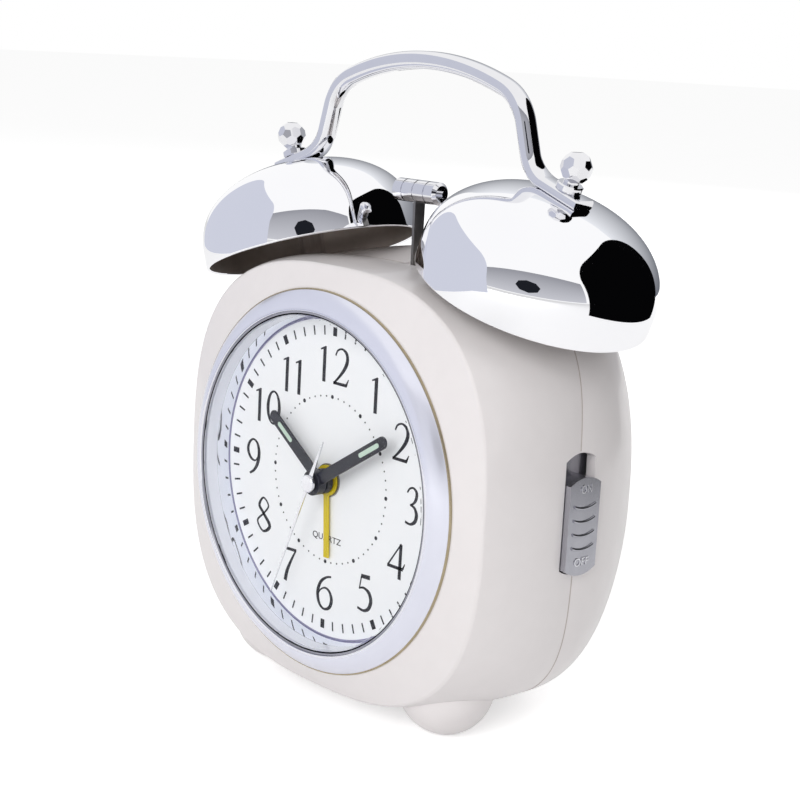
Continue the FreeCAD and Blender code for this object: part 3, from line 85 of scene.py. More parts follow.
# Bezel and lens
BEZEL_OUTER = 47.0
BEZEL_INNER = 42.0
BEZEL_STEPS = 240
FACE_OUTER = 46.7
FACE_INNER = 42.55
FACE_FOOT = 5.3
FACE_RISE = 2.62
FACE_BOW = 0.95
FACE_STEPS = 14
LENS_SEAT_FRONT = 7.5
LENS_SEAT_BACK = 6.4
LENS_FLANGE_RADIUS = 41.8
LENS_RADIUS = 40.6
LENS_FRONT = -9.2
LENS_CROWN = 1.5
LENS_THICK = 1.1
LENS_STEPS = 30
LENS_TURN_STEPS = 200
WALL_MIRROR = 3.4
WALL_FADE = 0.3

# Dial print
PRINT_FRONT = -0.04
PRINT_THICK = 0.04
TICK_RING = 36.85
TICK_LONG = 2.3
TICK_WIDE = 0.45
BLOCK_WIDE = 1.4
DOT_RING = 20.75
DOT_RADIUS = 0.22
HOUR_DOT_RADIUS = 0.5
DOT_SIDES = 16
CURVE_STEPS = 8
QUARTZ_PLACE = (0.2, -14.9)
QUARTZ_TALL = 1.9
QUARTZ_WIDE = 10.6

# Camera: where it stands and where it looks, in metres
CAMERA_PLACE = Vector((0.305069, -0.293609, 0.161203))
CAMERA_RIGHT = Vector((0.679265, 0.732110, 0.051129))
CAMERA_UP = Vector((-0.181727, 0.100292, 0.978221))
CAMERA_BACK = Vector((0.711038, -0.673763, 0.201169))
CAMERA_LENS = 76.69
CAMERA_SENSOR = 36.0
CAMERA_CLIP_START = 0.01


def at(x, depth, z):
    """A point given from the dial's middle, in metres."""
    return Vector((x * MM, (DIAL_Y + depth) * MM, (DIAL_Z + z) * MM))


def srgb(red, green, blue):
    """A colour as it shows on screen, 0 to 255, turned to linear light."""
    values = []
    for part in (red, green, blue):
        c = part / 255
        values.append(c / 12.92 if c <= 0.04045 else ((c + 0.055) / 1.055) ** 2.4)
    return (*values, 1.0)


# Materials

DRIFT_DETAIL = 4.0
GRAIN_PER_DRIFT = 12
RELIEF_DEPTH = 0.0001
COAT_ROUGHNESS = 0.08
LENS_INDEX = 1.06


def new_material(name):
    """A material with its node tree, its links and its main shader."""
    material = bpy.data.materials.new(name)
    material.use_nodes = True
    nodes = material.node_tree.nodes
    return material, nodes, material.node_tree.links, nodes["Principled BSDF"]


def bare_material(name):
    """A material whose node tree starts empty."""
    material = bpy.data.materials.new(name)
    material.use_nodes = True
    nodes = material.node_tree.nodes
    nodes.clear()
    return material, nodes, material.node_tree.links


def math_node(nodes, operation):
    node = nodes.new("ShaderNodeMath")
    node.operation = operation
    return node


def mottled(name, colour, second, rough, metal=0.0, scale=220.0, bump=0.05, coat=0.0, rough_spread=0.05):
    """A surface whose colour and gloss drift a little from place to place."""
    material, nodes, links, shader = new_material(name)
    place = nodes.new("ShaderNodeTexCoord")
    drift = nodes.new("ShaderNodeTexNoise")
    drift.inputs["Scale"].default_value = scale
    drift.inputs["Detail"].default_value = DRIFT_DETAIL
    blend = nodes.new("ShaderNodeMix")
    blend.data_type = "RGBA"
    blend.inputs["A"].default_value = srgb(*colour)
    blend.inputs["B"].default_value = srgb(*second)
    gloss = nodes.new("ShaderNodeMapRange")
    gloss.inputs["To Min"].default_value = max(rough - rough_spread, 0.0)
    gloss.inputs["To Max"].default_value = rough + rough_spread
    grain = nodes.new("ShaderNodeTexNoise")
    grain.inputs["Scale"].default_value = scale * GRAIN_PER_DRIFT
    relief = nodes.new("ShaderNodeBump")
    relief.inputs["Strength"].default_value = bump
    relief.inputs["Distance"].default_value = RELIEF_DEPTH
    links.new(place.outputs["Object"], drift.inputs["Vector"])
    links.new(place.outputs["Object"], grain.inputs["Vector"])
    links.new(drift.outputs["Fac"], blend.inputs["Factor"])
    links.new(blend.outputs["Result"], shader.inputs["Base Color"])
    links.new(drift.outputs["Fac"], gloss.inputs["Value"])
    links.new(gloss.outputs["Result"], shader.inputs["Roughness"])
    links.new(grain.outputs["Fac"], relief.inputs["Height"])
    links.new(relief.outputs["Normal"], shader.inputs["Normal"])
    shader.inputs["Metallic"].default_value = metal
    shader.inputs["Coat Weight"].default_value = coat
    shader.inputs["Coat Roughness"].default_value = COAT_ROUGHNESS
    return material


def clear_plastic():
    """Clear lens plastic that lets lamp light through to the dial."""
    material, nodes, links, shader = new_material("clear_lens_look")
    shader.inputs["Base Color"].default_value = (1.0, 1.0, 1.0, 1.0)
    shader.inputs["Roughness"].default_value = 0.0
    shader.inputs["IOR"].default_value = LENS_INDEX
    shader.inputs["Transmission Weight"].default_value = 1.0
    clear = nodes.new("ShaderNodeBsdfTransparent")
    rays = nodes.new("ShaderNodeLightPath")
    either = math_node(nodes, "MAXIMUM")
    mix = nodes.new("ShaderNodeMixShader")
    links.new(rays.outputs["Is Shadow Ray"], either.inputs[0])
    links.new(rays.outputs["Is Diffuse Ray"], either.inputs[1])
    links.new(either.outputs["Value"], mix.inputs["Fac"])
    links.new(shader.outputs["BSDF"], mix.inputs[1])
    links.new(clear.outputs["BSDF"], mix.inputs[2])
    links.new(mix.outputs["Shader"], nodes["Material Output"].inputs["Surface"])
    return material


def wall_plastic():
    """The wall round the dial: bright as a mirror beside the dial and pale plastic further out."""
    material = mottled("dial_wall_look", (232, 234, 243), (226, 229, 239), 0.05, bump=0.0, rough_spread=0.02)
    nodes = material.node_tree.nodes
    links = material.node_tree.links
    place = nodes.new("ShaderNodeTexCoord")
    split = nodes.new("ShaderNodeSeparateXYZ")
    fade = nodes.new("ShaderNodeMapRange")
    fade.inputs["From Min"].default_value = (DIAL_Y - WALL_MIRROR - WALL_FADE) * MM
    fade.inputs["From Max"].default_value = (DIAL_Y - WALL_MIRROR) * MM
    links.new(place.outputs["Object"], split.inputs["Vector"])
    links.new(split.outputs["Y"], fade.inputs["Value"])
    links.new(fade.outputs["Result"], nodes["Principled BSDF"].inputs["Metallic"])
    return material


LOOKS = {
    "case_plastic": mottled(
        "pearl_plastic_look", (241, 236, 236), (236, 231, 231), 0.32, bump=0.03, coat=0.25,
    ),
    "bright_chrome": mottled(
        "chrome_look", (238, 238, 240), (232, 232, 236), 0.04,
        metal=1.0, bump=0.01, rough_spread=0.02,
    ),
    "bell_steel": mottled(
        "bell_chrome_look", (251, 251, 253), (248, 248, 251), 0.02,
        metal=1.0, scale=60.0, bump=0.0, rough_spread=0.01,
    ),
    "bezel_plastic": mottled(
        "bezel_look", (234, 235, 247), (229, 230, 243), 0.22,
        metal=0.5, bump=0.01, rough_spread=0.03,
    ),
    "dial_white": mottled("dial_look", (247, 248, 250), (244, 246, 249), 0.5, bump=0.02),
    "steel": mottled("steel_look", (150, 148, 146), (118, 116, 114), 0.3, metal=1.0),
    "switch_silver": mottled("switch_look", (184, 184, 191), (176, 176, 184), 0.25, metal=0.9, bump=0.03),
    "hand_black": mottled("hand_look", (30, 31, 44), (24, 25, 36), 0.4),
    "hand_lume": mottled("lume_look", (203, 222, 208), (188, 210, 196), 0.6, scale=900.0),
    "second_silver": mottled("second_hand_look", (226, 226, 230), (206, 206, 212), 0.15, metal=1.0),
    "alarm_yellow": mottled("alarm_hand_look", (216, 194, 20), (206, 182, 14), 0.4),
    "gear_nylon": mottled("nylon_look", (226, 222, 206), (212, 206, 190), 0.5),
    "rotor_magnet": mottled("magnet_look", (70, 66, 66), (54, 50, 52), 0.45, metal=0.4),
    "copper_wire": mottled("copper_look", (190, 104, 56), (160, 82, 42), 0.35, metal=0.9),
    "black_plastic": mottled("black_plastic_look", (32, 32, 34), (22, 22, 24), 0.45),
    "board_green": mottled("board_look", (34, 96, 58), (26, 78, 48), 0.5),
    "knob_grey": mottled("knob_look", (118, 118, 122), (104, 104, 108), 0.42),
    "cell_jacket": mottled("cell_look", (44, 60, 118), (36, 50, 102), 0.3),
    "rubber_foot": mottled("rubber_look", (40, 40, 41), (30, 30, 31), 0.8, bump=0.2),
}
INK = mottled("ink_look", (28, 28, 38), (22, 22, 30), 0.6, scale=900.0)
BELL_INSIDE = mottled(
    "bell_inside_look", (168, 156, 148), (106, 96, 89), 0.4,
    metal=0.5, scale=90.0, bump=0.1, rough_spread=0.12,
)
BROW = mottled(
    "bezel_brow_look", (240, 240, 246), (234, 234, 242), 0.05,
    metal=1.0, bump=0.01, rough_spread=0.02,
)
DIAL_WALL = wall_plastic()
VIOLET = mottled("dial_edge_look", (150, 148, 176), (136, 134, 164), 0.4)
# Greyish ring at the bezel's inner lip: a painted dark reflection and shade line, not a real part.
PAINTED_DARK_RING = mottled("painted_dark_ring_look", (158, 158, 170), (146, 146, 158), 0.4)
SEAM = mottled("seam_look", (200, 189, 185), (190, 179, 175), 0.6)
# The thin outer bevel line of the bezel is real, but its beige-gold tint is a painted reflection.
BEVEL_REFLECTION_TINT = mottled("edge_line_look", (186, 172, 146), (160, 148, 120), 0.25, metal=0.9)
LENS_LOOK = clear_plastic()


# Mesh helpers

WELD_DISTANCE = 1e-7


def add_mesh(name, vertices, faces, look, smooth_angle=30.0, picks=None, body=BODY):
    """A mesh piece that rides on a body. picks gives the look of each face."""
    looks = look if isinstance(look, list) else [look]
    mesh = bpy.data.meshes.new(name)
    mesh.from_pydata([tuple(v) for v in vertices], [], faces)
    mesh.validate()
    for item in looks:
        mesh.materials.append(item)
    if picks:
        for polygon, pick in zip(mesh.polygons, picks):
            polygon.material_index = pick
    mesh.polygons.foreach_set("use_smooth", [True] * len(mesh.polygons))
    mesh.set_sharp_from_angle(angle=math.radians(smooth_angle))
    mesh.update()
    piece = bpy.data.objects.new(name, mesh)
    bpy.context.scene.collection.objects.link(piece)
    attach(piece, body)
    return piece


def lathe(name, profile, origin, axis, looks, steps, inner_from=None, smooth_angle=30.0):
    """Turn a closed list of (radius, height) in millimetres round an axis.

    Faces from inner_from on take the second look.
    """
    axis = Vector(axis).normalized()
    side = axis.orthogonal().normalized()
    across = axis.cross(side)
    vertices = []
    for radius, height in profile:
        for i in range(steps):
            turn = 2 * math.pi * i / steps
            spoke = side * math.cos(turn) + across * math.sin(turn)
            vertices.append(origin + (axis * height + spoke * radius) * MM)
    faces = []
    picks = []
    count = len(profile)
    for ring in range(count):
        after = (ring + 1) % count
        if profile[ring][0] == 0 and profile[after][0] == 0:
            continue
        for i in range(steps):
            j = (i + 1) % steps
            faces.append((ring * steps + i, ring * steps + j, after * steps + j, after * steps + i))
            picks.append(1 if inner_from is not None and ring >= inner_from else 0)
    return add_mesh(name, vertices, faces, looks, smooth_angle, picks)


def weld(piece):
    """Join the points that fall together, as at a pole."""
    shape = bmesh.new()
    shape.from_mesh(piece.data)
    bmesh.ops.remove_doubles(shape, verts=shape.verts, dist=WELD_DISTANCE)
    bmesh.ops.recalc_face_normals(shape, faces=shape.faces)
    shape.to_mesh(piece.data)
    shape.free()


# Bells

def bell_axis(side):
    return Vector((side * math.sin(BELL_TILT), 0.0, math.cos(BELL_TILT)))


def bell_base(side):
    return at(side * BELL_X, BELL_DEPTH, BELL_RIM_Z)


def dome(radius, height, seat):
    """(radius, height) up the outside of a dome, from its straight wall to its flat crown."""
    rise = height - BELL_WALL_HEIGHT
    top = math.asin(((seat - BELL_WALL_HEIGHT) / rise) ** (BELL_EXPONENT / 2))
    points = []
    for i in range(DOME_STEPS + 1):
        angle = top * i / DOME_STEPS
        r = radius * math.cos(angle) ** (2 / BELL_EXPONENT)
        points.append((r, BELL_WALL_HEIGHT + rise * math.sin(angle) ** (2 / BELL_EXPONENT)))
    return points


def make_bell(side, name):
    half = BELL_SHEET / 2
    lip = []
    for i in range(LIP_STEPS + 1):
        turn = math.pi * i / LIP_STEPS
        lip.append((BELL_RADIUS - half - half * math.cos(turn), half - half * math.sin(turn)))
    outer = dome(BELL_RADIUS, BELL_HEIGHT, CROWN_SEAT)
    inner = dome(BELL_RADIUS - BELL_SHEET, BELL_HEIGHT - BELL_SHEET, CROWN_SEAT - BELL_SHEET)
    crown = [(POST_RADIUS, CROWN_SEAT), (POST_RADIUS, CROWN_SEAT - BELL_SHEET)]
    profile = lip + outer + crown + inner[::-1]
    inner_from = len(lip) + len(outer) + 1
    looks = [LOOKS["bell_steel"], BELL_INSIDE]
    base = bell_base(side)
    axis = bell_axis(side)
    bell = lathe(name + "_dome", profile, base, axis, looks, BELL_STEPS, inner_from)
    weld(bell)
    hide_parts(name)


# Handle

def handle_path():
    """Right half of the arch: (x, z, heading, share of the way to the flat tab)."""
    lean = math.pi / 2 - LEG_LEAN
    stations = []

    def arc(x, z, radius, start, end, steps):
        centre_x = x - radius * math.sin(start)
        centre_z = z - radius * math.cos(start)
        for i in range(1, steps + 1):
            a = start + (end - start) * i / steps
            stations.append((centre_x + radius * math.sin(a), centre_z + radius * math.cos(a), -a))
        return stations[-1][:2]

    stations.append((0.0, ARCH_TOP_Z, 0.0))
    x, z = arc(0.0, ARCH_TOP_Z, ARCH_TOP_RADIUS, 0.0, ARCH_TOP_ANGLE, steps=20)
    x, z = arc(x, z, SHOULDER_RADIUS, ARCH_TOP_ANGLE, lean, steps=18)
    axis = bell_axis(1)
    seat = Vector((BELL_X, 0.0, BELL_RIM_Z)) + axis * (CROWN_SEAT + TAB[0] / 2)
    drop_x = HEEL_RADIUS * (math.sin(lean) - math.sin(BELL_TILT))
    drop_z = HEEL_RADIUS * (math.cos(BELL_TILT) - math.cos(lean))
    gap = (x + drop_x - seat.x) * axis.x + (z - drop_z - seat.z) * axis.z
    leg = gap / (math.sin(lean) * axis.z - math.cos(lean) * axis.x)
    x += math.cos(lean) * leg
    z -= math.sin(lean) * leg
    stations.append((x, z, -lean))
    flat_from = len(stations) + HEEL_ROUND_STEPS
    arc(x, z, -HEEL_RADIUS, lean, BELL_TILT, steps=14)
    flat_at = len(stations) - 1
    end = seat + Vector((math.cos(BELL_TILT), 0.0, -math.sin(BELL_TILT))) * TAB_REACH
    stations.append((end.x, end.z, -BELL_TILT))
    result = []
    for i, (x, z, heading) in enumerate(stations):
        share = min(max((i - flat_from) / (flat_at - flat_from), 0.0), 1.0)
        result.append((x, z, heading, share))
    return result


def bar_outline(thick, wide, bevel):
    """An eight-sided section with softened corners."""
    t = thick / 2
    w = wide / 2
    corners = [(t, w - bevel), (t - bevel, w), (bevel - t, w), (-t, w - bevel)]
    corners += [(-t, bevel - w), (bevel - t, -w), (t - bevel, -w), (t, bevel - w)]
    soft = bevel * CORNER_SOFTENING
    outline = []
    for i, corner in enumerate(corners):
        here = Vector(corner)
        for mate in (corners[i - 1], corners[(i + 1) % len(corners)]):
            way = (Vector(mate) - here).normalized()
            outline.append(here + way * soft)
    return outline


def make_handle():
    half = handle_path()
    left = [(-x, z, -heading, share) for x, z, heading, share in reversed(half[1:])]
    vertices = []
    stations = left + half
    for x, z, heading, share in stations:
        size = [a + (b - a) * share for a, b in zip(BAR, TAB)]
        up = Vector((-math.sin(heading), 0.0, math.cos(heading)))
        centre = at(x, BELL_DEPTH, z)
        for u, v in bar_outline(*size):
            vertices.append(centre + up * (u * MM) + Vector((0.0, v * MM, 0.0)))
    count = len(bar_outline(*BAR))
    faces = [tuple(range(count))]
    for ring in range(len(stations) - 1):
        for i in range(count):
            j = (i + 1) % count
            low = ring * count
            faces.append((low + i, low + j, low + count + j, low + count + i))
    last = (len(stations) - 1) * count
    faces.append(tuple(last + count - 1 - i for i in range(count)))
    look = LOOKS["bright_chrome"]
    handle = add_mesh("handle_bar", vertices, faces, look, smooth_angle=50.0)
    weld(handle)
    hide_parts("handle")


# Bezel, lens and dial wall

FORWARD = (0.0, -1.0, 0.0)


def make_bezel():
    """A polished ring: an outer edge, a bowed face, a rounded brow and the inner lip."""
    profile = [(43.6, 4.4), (BEZEL_OUTER, 4.4), (BEZEL_OUTER, 4.9), (46.85, 5.15)]
    for i in range(FACE_STEPS + 1):
        share = i / FACE_STEPS
        radius = FACE_OUTER + (FACE_INNER - FACE_OUTER) * share
        bow = FACE_BOW * 4 * share * (1 - share) / 2
        profile.append((radius, FACE_FOOT + FACE_RISE * share + bow))
    brow_from = len(profile) - 1
    profile += [(42.35, 8.0), (42.1, 7.97), (BEZEL_INNER, 7.85), (41.9, LENS_SEAT_FRONT)]
    profile += [(41.1, LENS_SEAT_FRONT), (41.1, 7.3), (BEZEL_INNER, 7.3)]
    profile += [(BEZEL_INNER, LENS_SEAT_BACK), (43.6, LENS_SEAT_BACK)]
    looks = [LOOKS["bezel_plastic"], BROW]
    middle = at(0, 0, 0)
    bezel = lathe(
        "bezel_band", profile, middle, FORWARD, looks, BEZEL_STEPS, brow_from,
        smooth_angle=40.0,
    )
    weld(bezel)
    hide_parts("bezel_ring")
    # Outer bevel line of the bezel, tinted beige-gold as a painted reflection.
    line = [(46.95, 4.42), (47.3, 4.42), (47.35, 4.65), (47.2, 4.9), (46.95, 5.0)]
    weld(lathe("bezel_edge_line", line, middle, FORWARD, BEVEL_REFLECTION_TINT, BEZEL_STEPS))
    # Thin ring inside the bezel's inner lip, coloured as a painted dark reflection and shade line.
    gap = [(41.45, 7.52), (41.85, 7.52), (41.85, 7.68), (41.65, 7.74), (41.45, 7.68)]
    weld(lathe("painted_dark_ring", gap, middle, FORWARD, PAINTED_DARK_RING, BEZEL_STEPS))
    edge = [(39.55, 0.01), (39.85, 0.01), (39.85, 0.16), (39.7, 0.2), (39.55, 0.16)]
    weld(lathe("dial_edge_line", edge, middle, FORWARD, VIOLET, BEZEL_STEPS))


def lens_face(drop):
    """Half of the dome's outline from the middle to its edge."""
    sphere = (LENS_RADIUS ** 2 + LENS_CROWN ** 2) / (2 * LENS_CROWN)
    points = []
    for i in range(LENS_STEPS + 1):
        radius = LENS_RADIUS * i / LENS_STEPS
        sag = sphere - math.sqrt(sphere ** 2 - radius ** 2)
        points.append((radius, -LENS_FRONT - sag - drop))
    return points


def make_lens():
    front = lens_face(0.0)
    back = lens_face(LENS_THICK)
    flange = [(LENS_RADIUS, LENS_SEAT_FRONT), (LENS_FLANGE_RADIUS, LENS_SEAT_FRONT)]
    flange += [(LENS_FLANGE_RADIUS, LENS_SEAT_BACK), (LENS_RADIUS, LENS_SEAT_BACK)]
    profile = front + flange + back[::-1]
    lens = lathe(
        "lens_dome", profile, at(0, 0, 0), FORWARD, LENS_LOOK, LENS_TURN_STEPS,
        smooth_angle=40.0,
    )
    weld(lens)
    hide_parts("lens")


# Seam between the two halves of the case

SEAM_DEPTH = 26.6
SEAM_HALF = 0.16
SEAM_PROUD = 0.05
SEAM_SUNK = 0.3
SEAM_STEPS = 720
SEAM_SECTION = (57.0, 51.6, 4.3)
SWITCH_GAP = (-13.9, 15.7)
HAMMER_GAP = 5.3


def seam_open(x, z):
    """Whether the seam is cut away here, by the switch slot or the hammer slot."""
    return (x > 0 and SWITCH_GAP[0] < z < SWITCH_GAP[1]) or (z > 0 and abs(x) < HAMMER_GAP)


def make_seam():
    wide, tall, power = SEAM_SECTION
    vertices = []
    spots = []
    for i in range(SEAM_STEPS):
        angle = 2 * math.pi * i / SEAM_STEPS
        c = math.cos(angle)
        s = math.sin(angle)
        reach = (abs(c / wide) ** power + abs(s / tall) ** power) ** (-1 / power)
        spots.append((reach * c, reach * s))
        for proud, shift in ((-SEAM_SUNK, -1), (SEAM_PROUD, -1), (SEAM_PROUD, 1), (-SEAM_SUNK, 1)):
            r = reach + proud
            vertices.append(at(r * c, SEAM_DEPTH + shift * SEAM_HALF, r * s))
    faces = []
    for i in range(SEAM_STEPS):
        j = (i + 1) % SEAM_STEPS
        if seam_open(*spots[i]) or seam_open(*spots[j]):
            continue
        for k in range(4):
            m = (k + 1) % 4
            faces.append((4 * i + k, 4 * i + m, 4 * j + m, 4 * j + k))
    weld(add_mesh("case_seam_line", vertices, faces, SEAM))


# Dial print

def flat_prism(name, outlines, look, front=PRINT_FRONT, thick=PRINT_THICK):
    """Flat pieces from outlines of (x, z) about the dial's middle, as one thin raised print."""
    vertices = []
    faces = []
    for outline in outlines:
        low = len(vertices)
        count = len(outline)
        vertices += [at(x, front, z) for x, z in outline]
        vertices += [at(x, front + thick, z) for x, z in outline]
        faces.append(tuple(low + i for i in range(count)))
        faces.append(tuple(low + 2 * count - 1 - i for i in range(count)))
        for i in range(count):
            j = (i + 1) % count
            faces.append((low + i, low + j, low + count + j, low + count + i))
    return add_mesh(name, vertices, faces, look)


def clock_point(radius, angle):
    """A point round the dial, with its angle clockwise from twelve."""
    return radius * math.sin(angle), radius * math.cos(angle)


def tick(angle, wide):
    outline = []
    for across, radial in ((-1, -1), (1, -1), (1, 1), (-1, 1)):
        x, z = clock_point(TICK_RING + radial * TICK_LONG / 2, angle)
        out_x, out_z = clock_point(1.0, angle)
        outline.append((x + out_z * across * wide / 2, z - out_x * across * wide / 2))
    return outline


def dot(radius, angle, size):
    x, z = clock_point(radius, angle)
    outline = []
    for i in range(DOT_SIDES):
        turn = 2 * math.pi * i / DOT_SIDES
        outline.append((x + size * math.cos(turn), z + size * math.sin(turn)))
    return outline


def make_rings():
    ticks = []
    dots = []
    for minute in range(60):
        angle = math.radians(6 * minute)
        hour = minute % 5 == 0
        ticks.append(tick(angle, BLOCK_WIDE if hour else TICK_WIDE))
        dots.append(dot(DOT_RING, angle, HOUR_DOT_RADIUS if hour else DOT_RADIUS))
    flat_prism("dial_minute_ticks", ticks, INK)
    flat_prism("dial_alarm_dots", dots, INK)


def curve_through(points, closed):
    """Smooth line through (x, z, width) points."""
    dense = []
    count = len(points)
    spans = count if closed else count - 1
    for i in range(spans):
        if closed:
            a, b, c, d = (points[(i + k) % count] for k in (-1, 0, 1, 2))
        else:
            a, b, c, d = (points[min(max(i + k, 0), count - 1)] for k in (-1, 0, 1, 2))
        for s in range(CURVE_STEPS):
            t = s / CURVE_STEPS
            value = []
            for p, q, r, u in zip(a, b, c, d):
                third = 3 * (q - r) + u - p
                second = 2 * p - 5 * q + 4 * r - u + t * third
                value.append(q + 0.5 * t * (r - p + t * second))
            dense.append(value)
    if not closed:
        dense.append(list(points[-1]))
    return dense


def stroke(points, closed=False):
    """A pen stroke as flat four-sided outlines, one for each short run of its line."""
    line = curve_through(points, closed) if len(points) > 2 else [list(p) for p in points]
    count = len(line)
    sides = []
    for i, (x, z, wide) in enumerate(line):
        before = line[i - 1] if closed or i else line[0]
        after = line[(i + 1) % count] if closed or i < count - 1 else line[-1]
        run = Vector((after[0] - before[0], after[1] - before[1])).normalized()
        side_x = run.y * wide / 2
        side_z = run.x * wide / 2
        sides.append(((x - side_x, z + side_z), (x + side_x, z - side_z)))
    outlines = []
    spans = count if closed else count - 1
    for i in range(spans):
        j = (i + 1) % count
        outlines.append([sides[i][0], sides[i][1], sides[j][1], sides[j][0]])
    return outlines


ONE_HALF = 0.57
ONE_FLAG = ((0.15, 0.0), (-1.6, -0.8), (-1.5, -1.15), (-ONE_HALF, -0.85))


def one(x, top, low):
    """A slim figure one with a pointed flag."""
    flag = [(x + across, top + rise) for across, rise in ONE_FLAG]
    return [(x + ONE_HALF, top)] + flag + [(x - ONE_HALF, low), (x + ONE_HALF, low)]


TWO = [
    [(0.6, 31.1, 0.45), (1.3, 32.4, 0.5), (2.9, 32.95, 0.5), (4.5, 32.1, 0.9), (4.9, 30.4, 1.1),
     (4.1, 28.4, 1.0), (2.2, 26.1, 0.7), (0.3, 24.3, 0.5)],
    [(0.1, 24.35, 0.7), (5.0, 24.35, 0.8)],
    [(4.8, 24.3, 0.7), (5.6, 25.9, 0.25)],
]
THREE = [
    [(28.0, 3.2, 0.45), (28.7, 4.25, 0.5), (30.0, 4.65, 0.5), (31.1, 3.7, 0.85), (31.0, 2.2, 0.9),
     (30.2, 1.0, 0.6), (29.1, 0.45, 0.4)],
    [(29.1, 0.45, 0.4), (30.6, 0.0, 0.7), (31.4, -1.6, 1.05), (30.9, -3.3, 0.95), (29.4, -4.15, 0.6),
     (27.7, -3.9, 0.6)],
]
FOUR = [
    [(26.8, -9.8, 1.0), (26.7, -18.4, 1.05)],
    [(26.9, -9.6, 0.4), (22.6, -15.6, 0.45)],
    [(22.4, -15.7, 0.8), (27.8, -15.7, 0.8)],
    [(27.7, -15.6, 0.6), (28.4, -14.2, 0.25)],
]
FIVE = [
    [(13.5, -20.9, 1.0), (16.6, -20.7, 1.1)],
    [(13.6, -20.9, 0.4), (13.0, -24.3, 0.4)],
    [(13.0, -24.1, 0.4), (14.6, -23.7, 0.6), (16.5, -24.5, 1.0), (17.3, -26.4, 1.15), (16.6, -28.4, 1.0),
     (14.9, -29.35, 0.7), (12.6, -29.1, 0.6)],
]
SIX = [
    [(2.5, -24.2, 0.5), (0.6, -24.8, 0.6), (-1.4, -26.5, 0.9), (-2.3, -29.3, 1.1), (-1.6, -31.9, 0.9),
     (0.2, -33.0, 0.6), (2.2, -32.2, 0.9), (3.0, -30.2, 1.1), (2.2, -28.2, 0.8), (0.5, -27.5, 0.5),
     (-1.2, -28.3, 0.4), (-2.1, -29.6, 0.4)],
]
SEVEN = [
    [(-15.7, -21.15, 0.75), (-11.2, -20.95, 0.8)],
    [(-15.5, -21.1, 0.7), (-16.0, -22.5, 0.25)],
    [(-11.4, -21.0, 0.5), (-13.2, -24.2, 0.8), (-14.5, -27.0, 1.1), (-15.1, -29.6, 1.2)],
]
EIGHT = [
    (-24.8, -14.3, 0.9), (-26.6, -12.4, 0.9), (-25.0, -10.2, 0.5), (-22.9, -11.9, 0.55), (-24.6, -14.2, 0.5),
    (-27.1, -16.7, 0.6), (-24.7, -19.0, 0.6), (-22.1, -17.1, 1.1),
]
NINE = [
    [(-27.6, 0.4, 0.4), (-28.9, -1.2, 0.45), (-30.8, -0.8, 0.8), (-32.0, 1.1, 1.0), (-31.5, 3.1, 0.8),
     (-29.9, 4.2, 0.5), (-28.2, 3.3, 0.8), (-27.5, 1.0, 1.15), (-27.9, -1.6, 1.1), (-29.2, -3.7, 0.8),
     (-31.0, -4.9, 0.55)],
]
ZERO = (-22.3, 13.9, 2.25, 4.15)
ZERO_THIN = 0.5
ZERO_SWELL = 0.62
ZERO_POINTS = 12


def shifted(strokes, dx, dz):
    return [[(x + dx, z + dz, wide) for x, z, wide in line] for line in strokes]


def zero_stroke():
    """A tall oval, thick at its sides."""
    x, z, half_wide, half_tall = ZERO
    points = []
    for i in range(ZERO_POINTS):
        a = 2 * math.pi * i / ZERO_POINTS
        wide = ZERO_THIN + ZERO_SWELL * math.cos(a) ** 2
        points.append((x + half_wide * math.cos(a), z + half_tall * math.sin(a), wide))
    return points


def make_numerals():
    ones = {
        "12": [one(-3.45, 32.8, 24.0)], "1": [one(15.5, 28.3, 19.6)],
        "11": [one(-17.5, 27.8, 19.0), one(-12.7, 27.8, 19.0)], "10": [one(-27.95, 18.0, 9.4)],
    }
    strokes = {
        "12": TWO, "2": shifted(TWO, 22.2, -14.0), "3": THREE, "4": FOUR,
        "5": FIVE, "6": SIX, "7": SEVEN, "9": NINE,
    }
    loops = {"10": zero_stroke(), "8": EIGHT}
    for hour in range(1, 13):
        key = str(hour)
        outlines = list(ones.get(key, []))
        for line in strokes.get(key, []):
            outlines += stroke(line)
        if key in loops:
            outlines += stroke(loops[key], closed=True)
        flat_prism("dial_numeral_" + key, outlines, INK)


def text_mesh(name, words, height, width, matrix, look, thick, body=BODY):
    """Raised lettering of a given cap height and overall width, as a mesh."""
    curve = bpy.data.curves.new(name + "_curve", "FONT")
    curve.body = words
    curve.align_x = "CENTER"
    curve.size = 1.0
    curve.extrude = 0.5
    holder = bpy.data.objects.new(name + "_holder", curve)
    bpy.context.scene.collection.objects.link(holder)
    bpy.context.view_layer.update()
    mesh = bpy.data.meshes.new_from_object(holder)
    bpy.data.objects.remove(holder)
    low = [min(v.co[i] for v in mesh.vertices) for i in range(3)]
    high = [max(v.co[i] for v in mesh.vertices) for i in range(3)]
    middle = Vector([(a + b) / 2 for a, b in zip(low, high)])
    sizes = (width / (high[0] - low[0]), height / (high[1] - low[1]), thick / (high[2] - low[2]))
    shrink = Matrix.Diagonal((*[s * MM for s in sizes], 1.0))
    mesh.transform(matrix @ shrink @ Matrix.Translation(-middle))
    mesh.materials.clear()
    mesh.materials.append(look)
    piece = bpy.data.objects.new(name, mesh)
    bpy.context.scene.collection.objects.link(piece)
    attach(piece, body)
    return piece


def facing(origin, right, up):
    """A frame whose X runs along the words and Y up them."""
    right = Vector(right)
    up = Vector(up)
    out = right.cross(up)
    matrix = Matrix((right, up, out)).transposed().to_4x4()
    return Matrix.Translation(origin) @ matrix


def make_dial_words():
    x, z = QUARTZ_PLACE
    spot = facing(at(x, PRINT_FRONT + PRINT_THICK / 2, z), (1, 0, 0), (0, 0, 1))
    name = "dial_quartz_word"
    text_mesh(name, "QUARTZ", QUARTZ_TALL, QUARTZ_WIDE, spot, INK, PRINT_THICK)


# Switch lettering

SWITCH_FACE = 59.1
SWITCH_WORD_LIFT = 0.05
SWITCH_WORD_THICK = 0.3


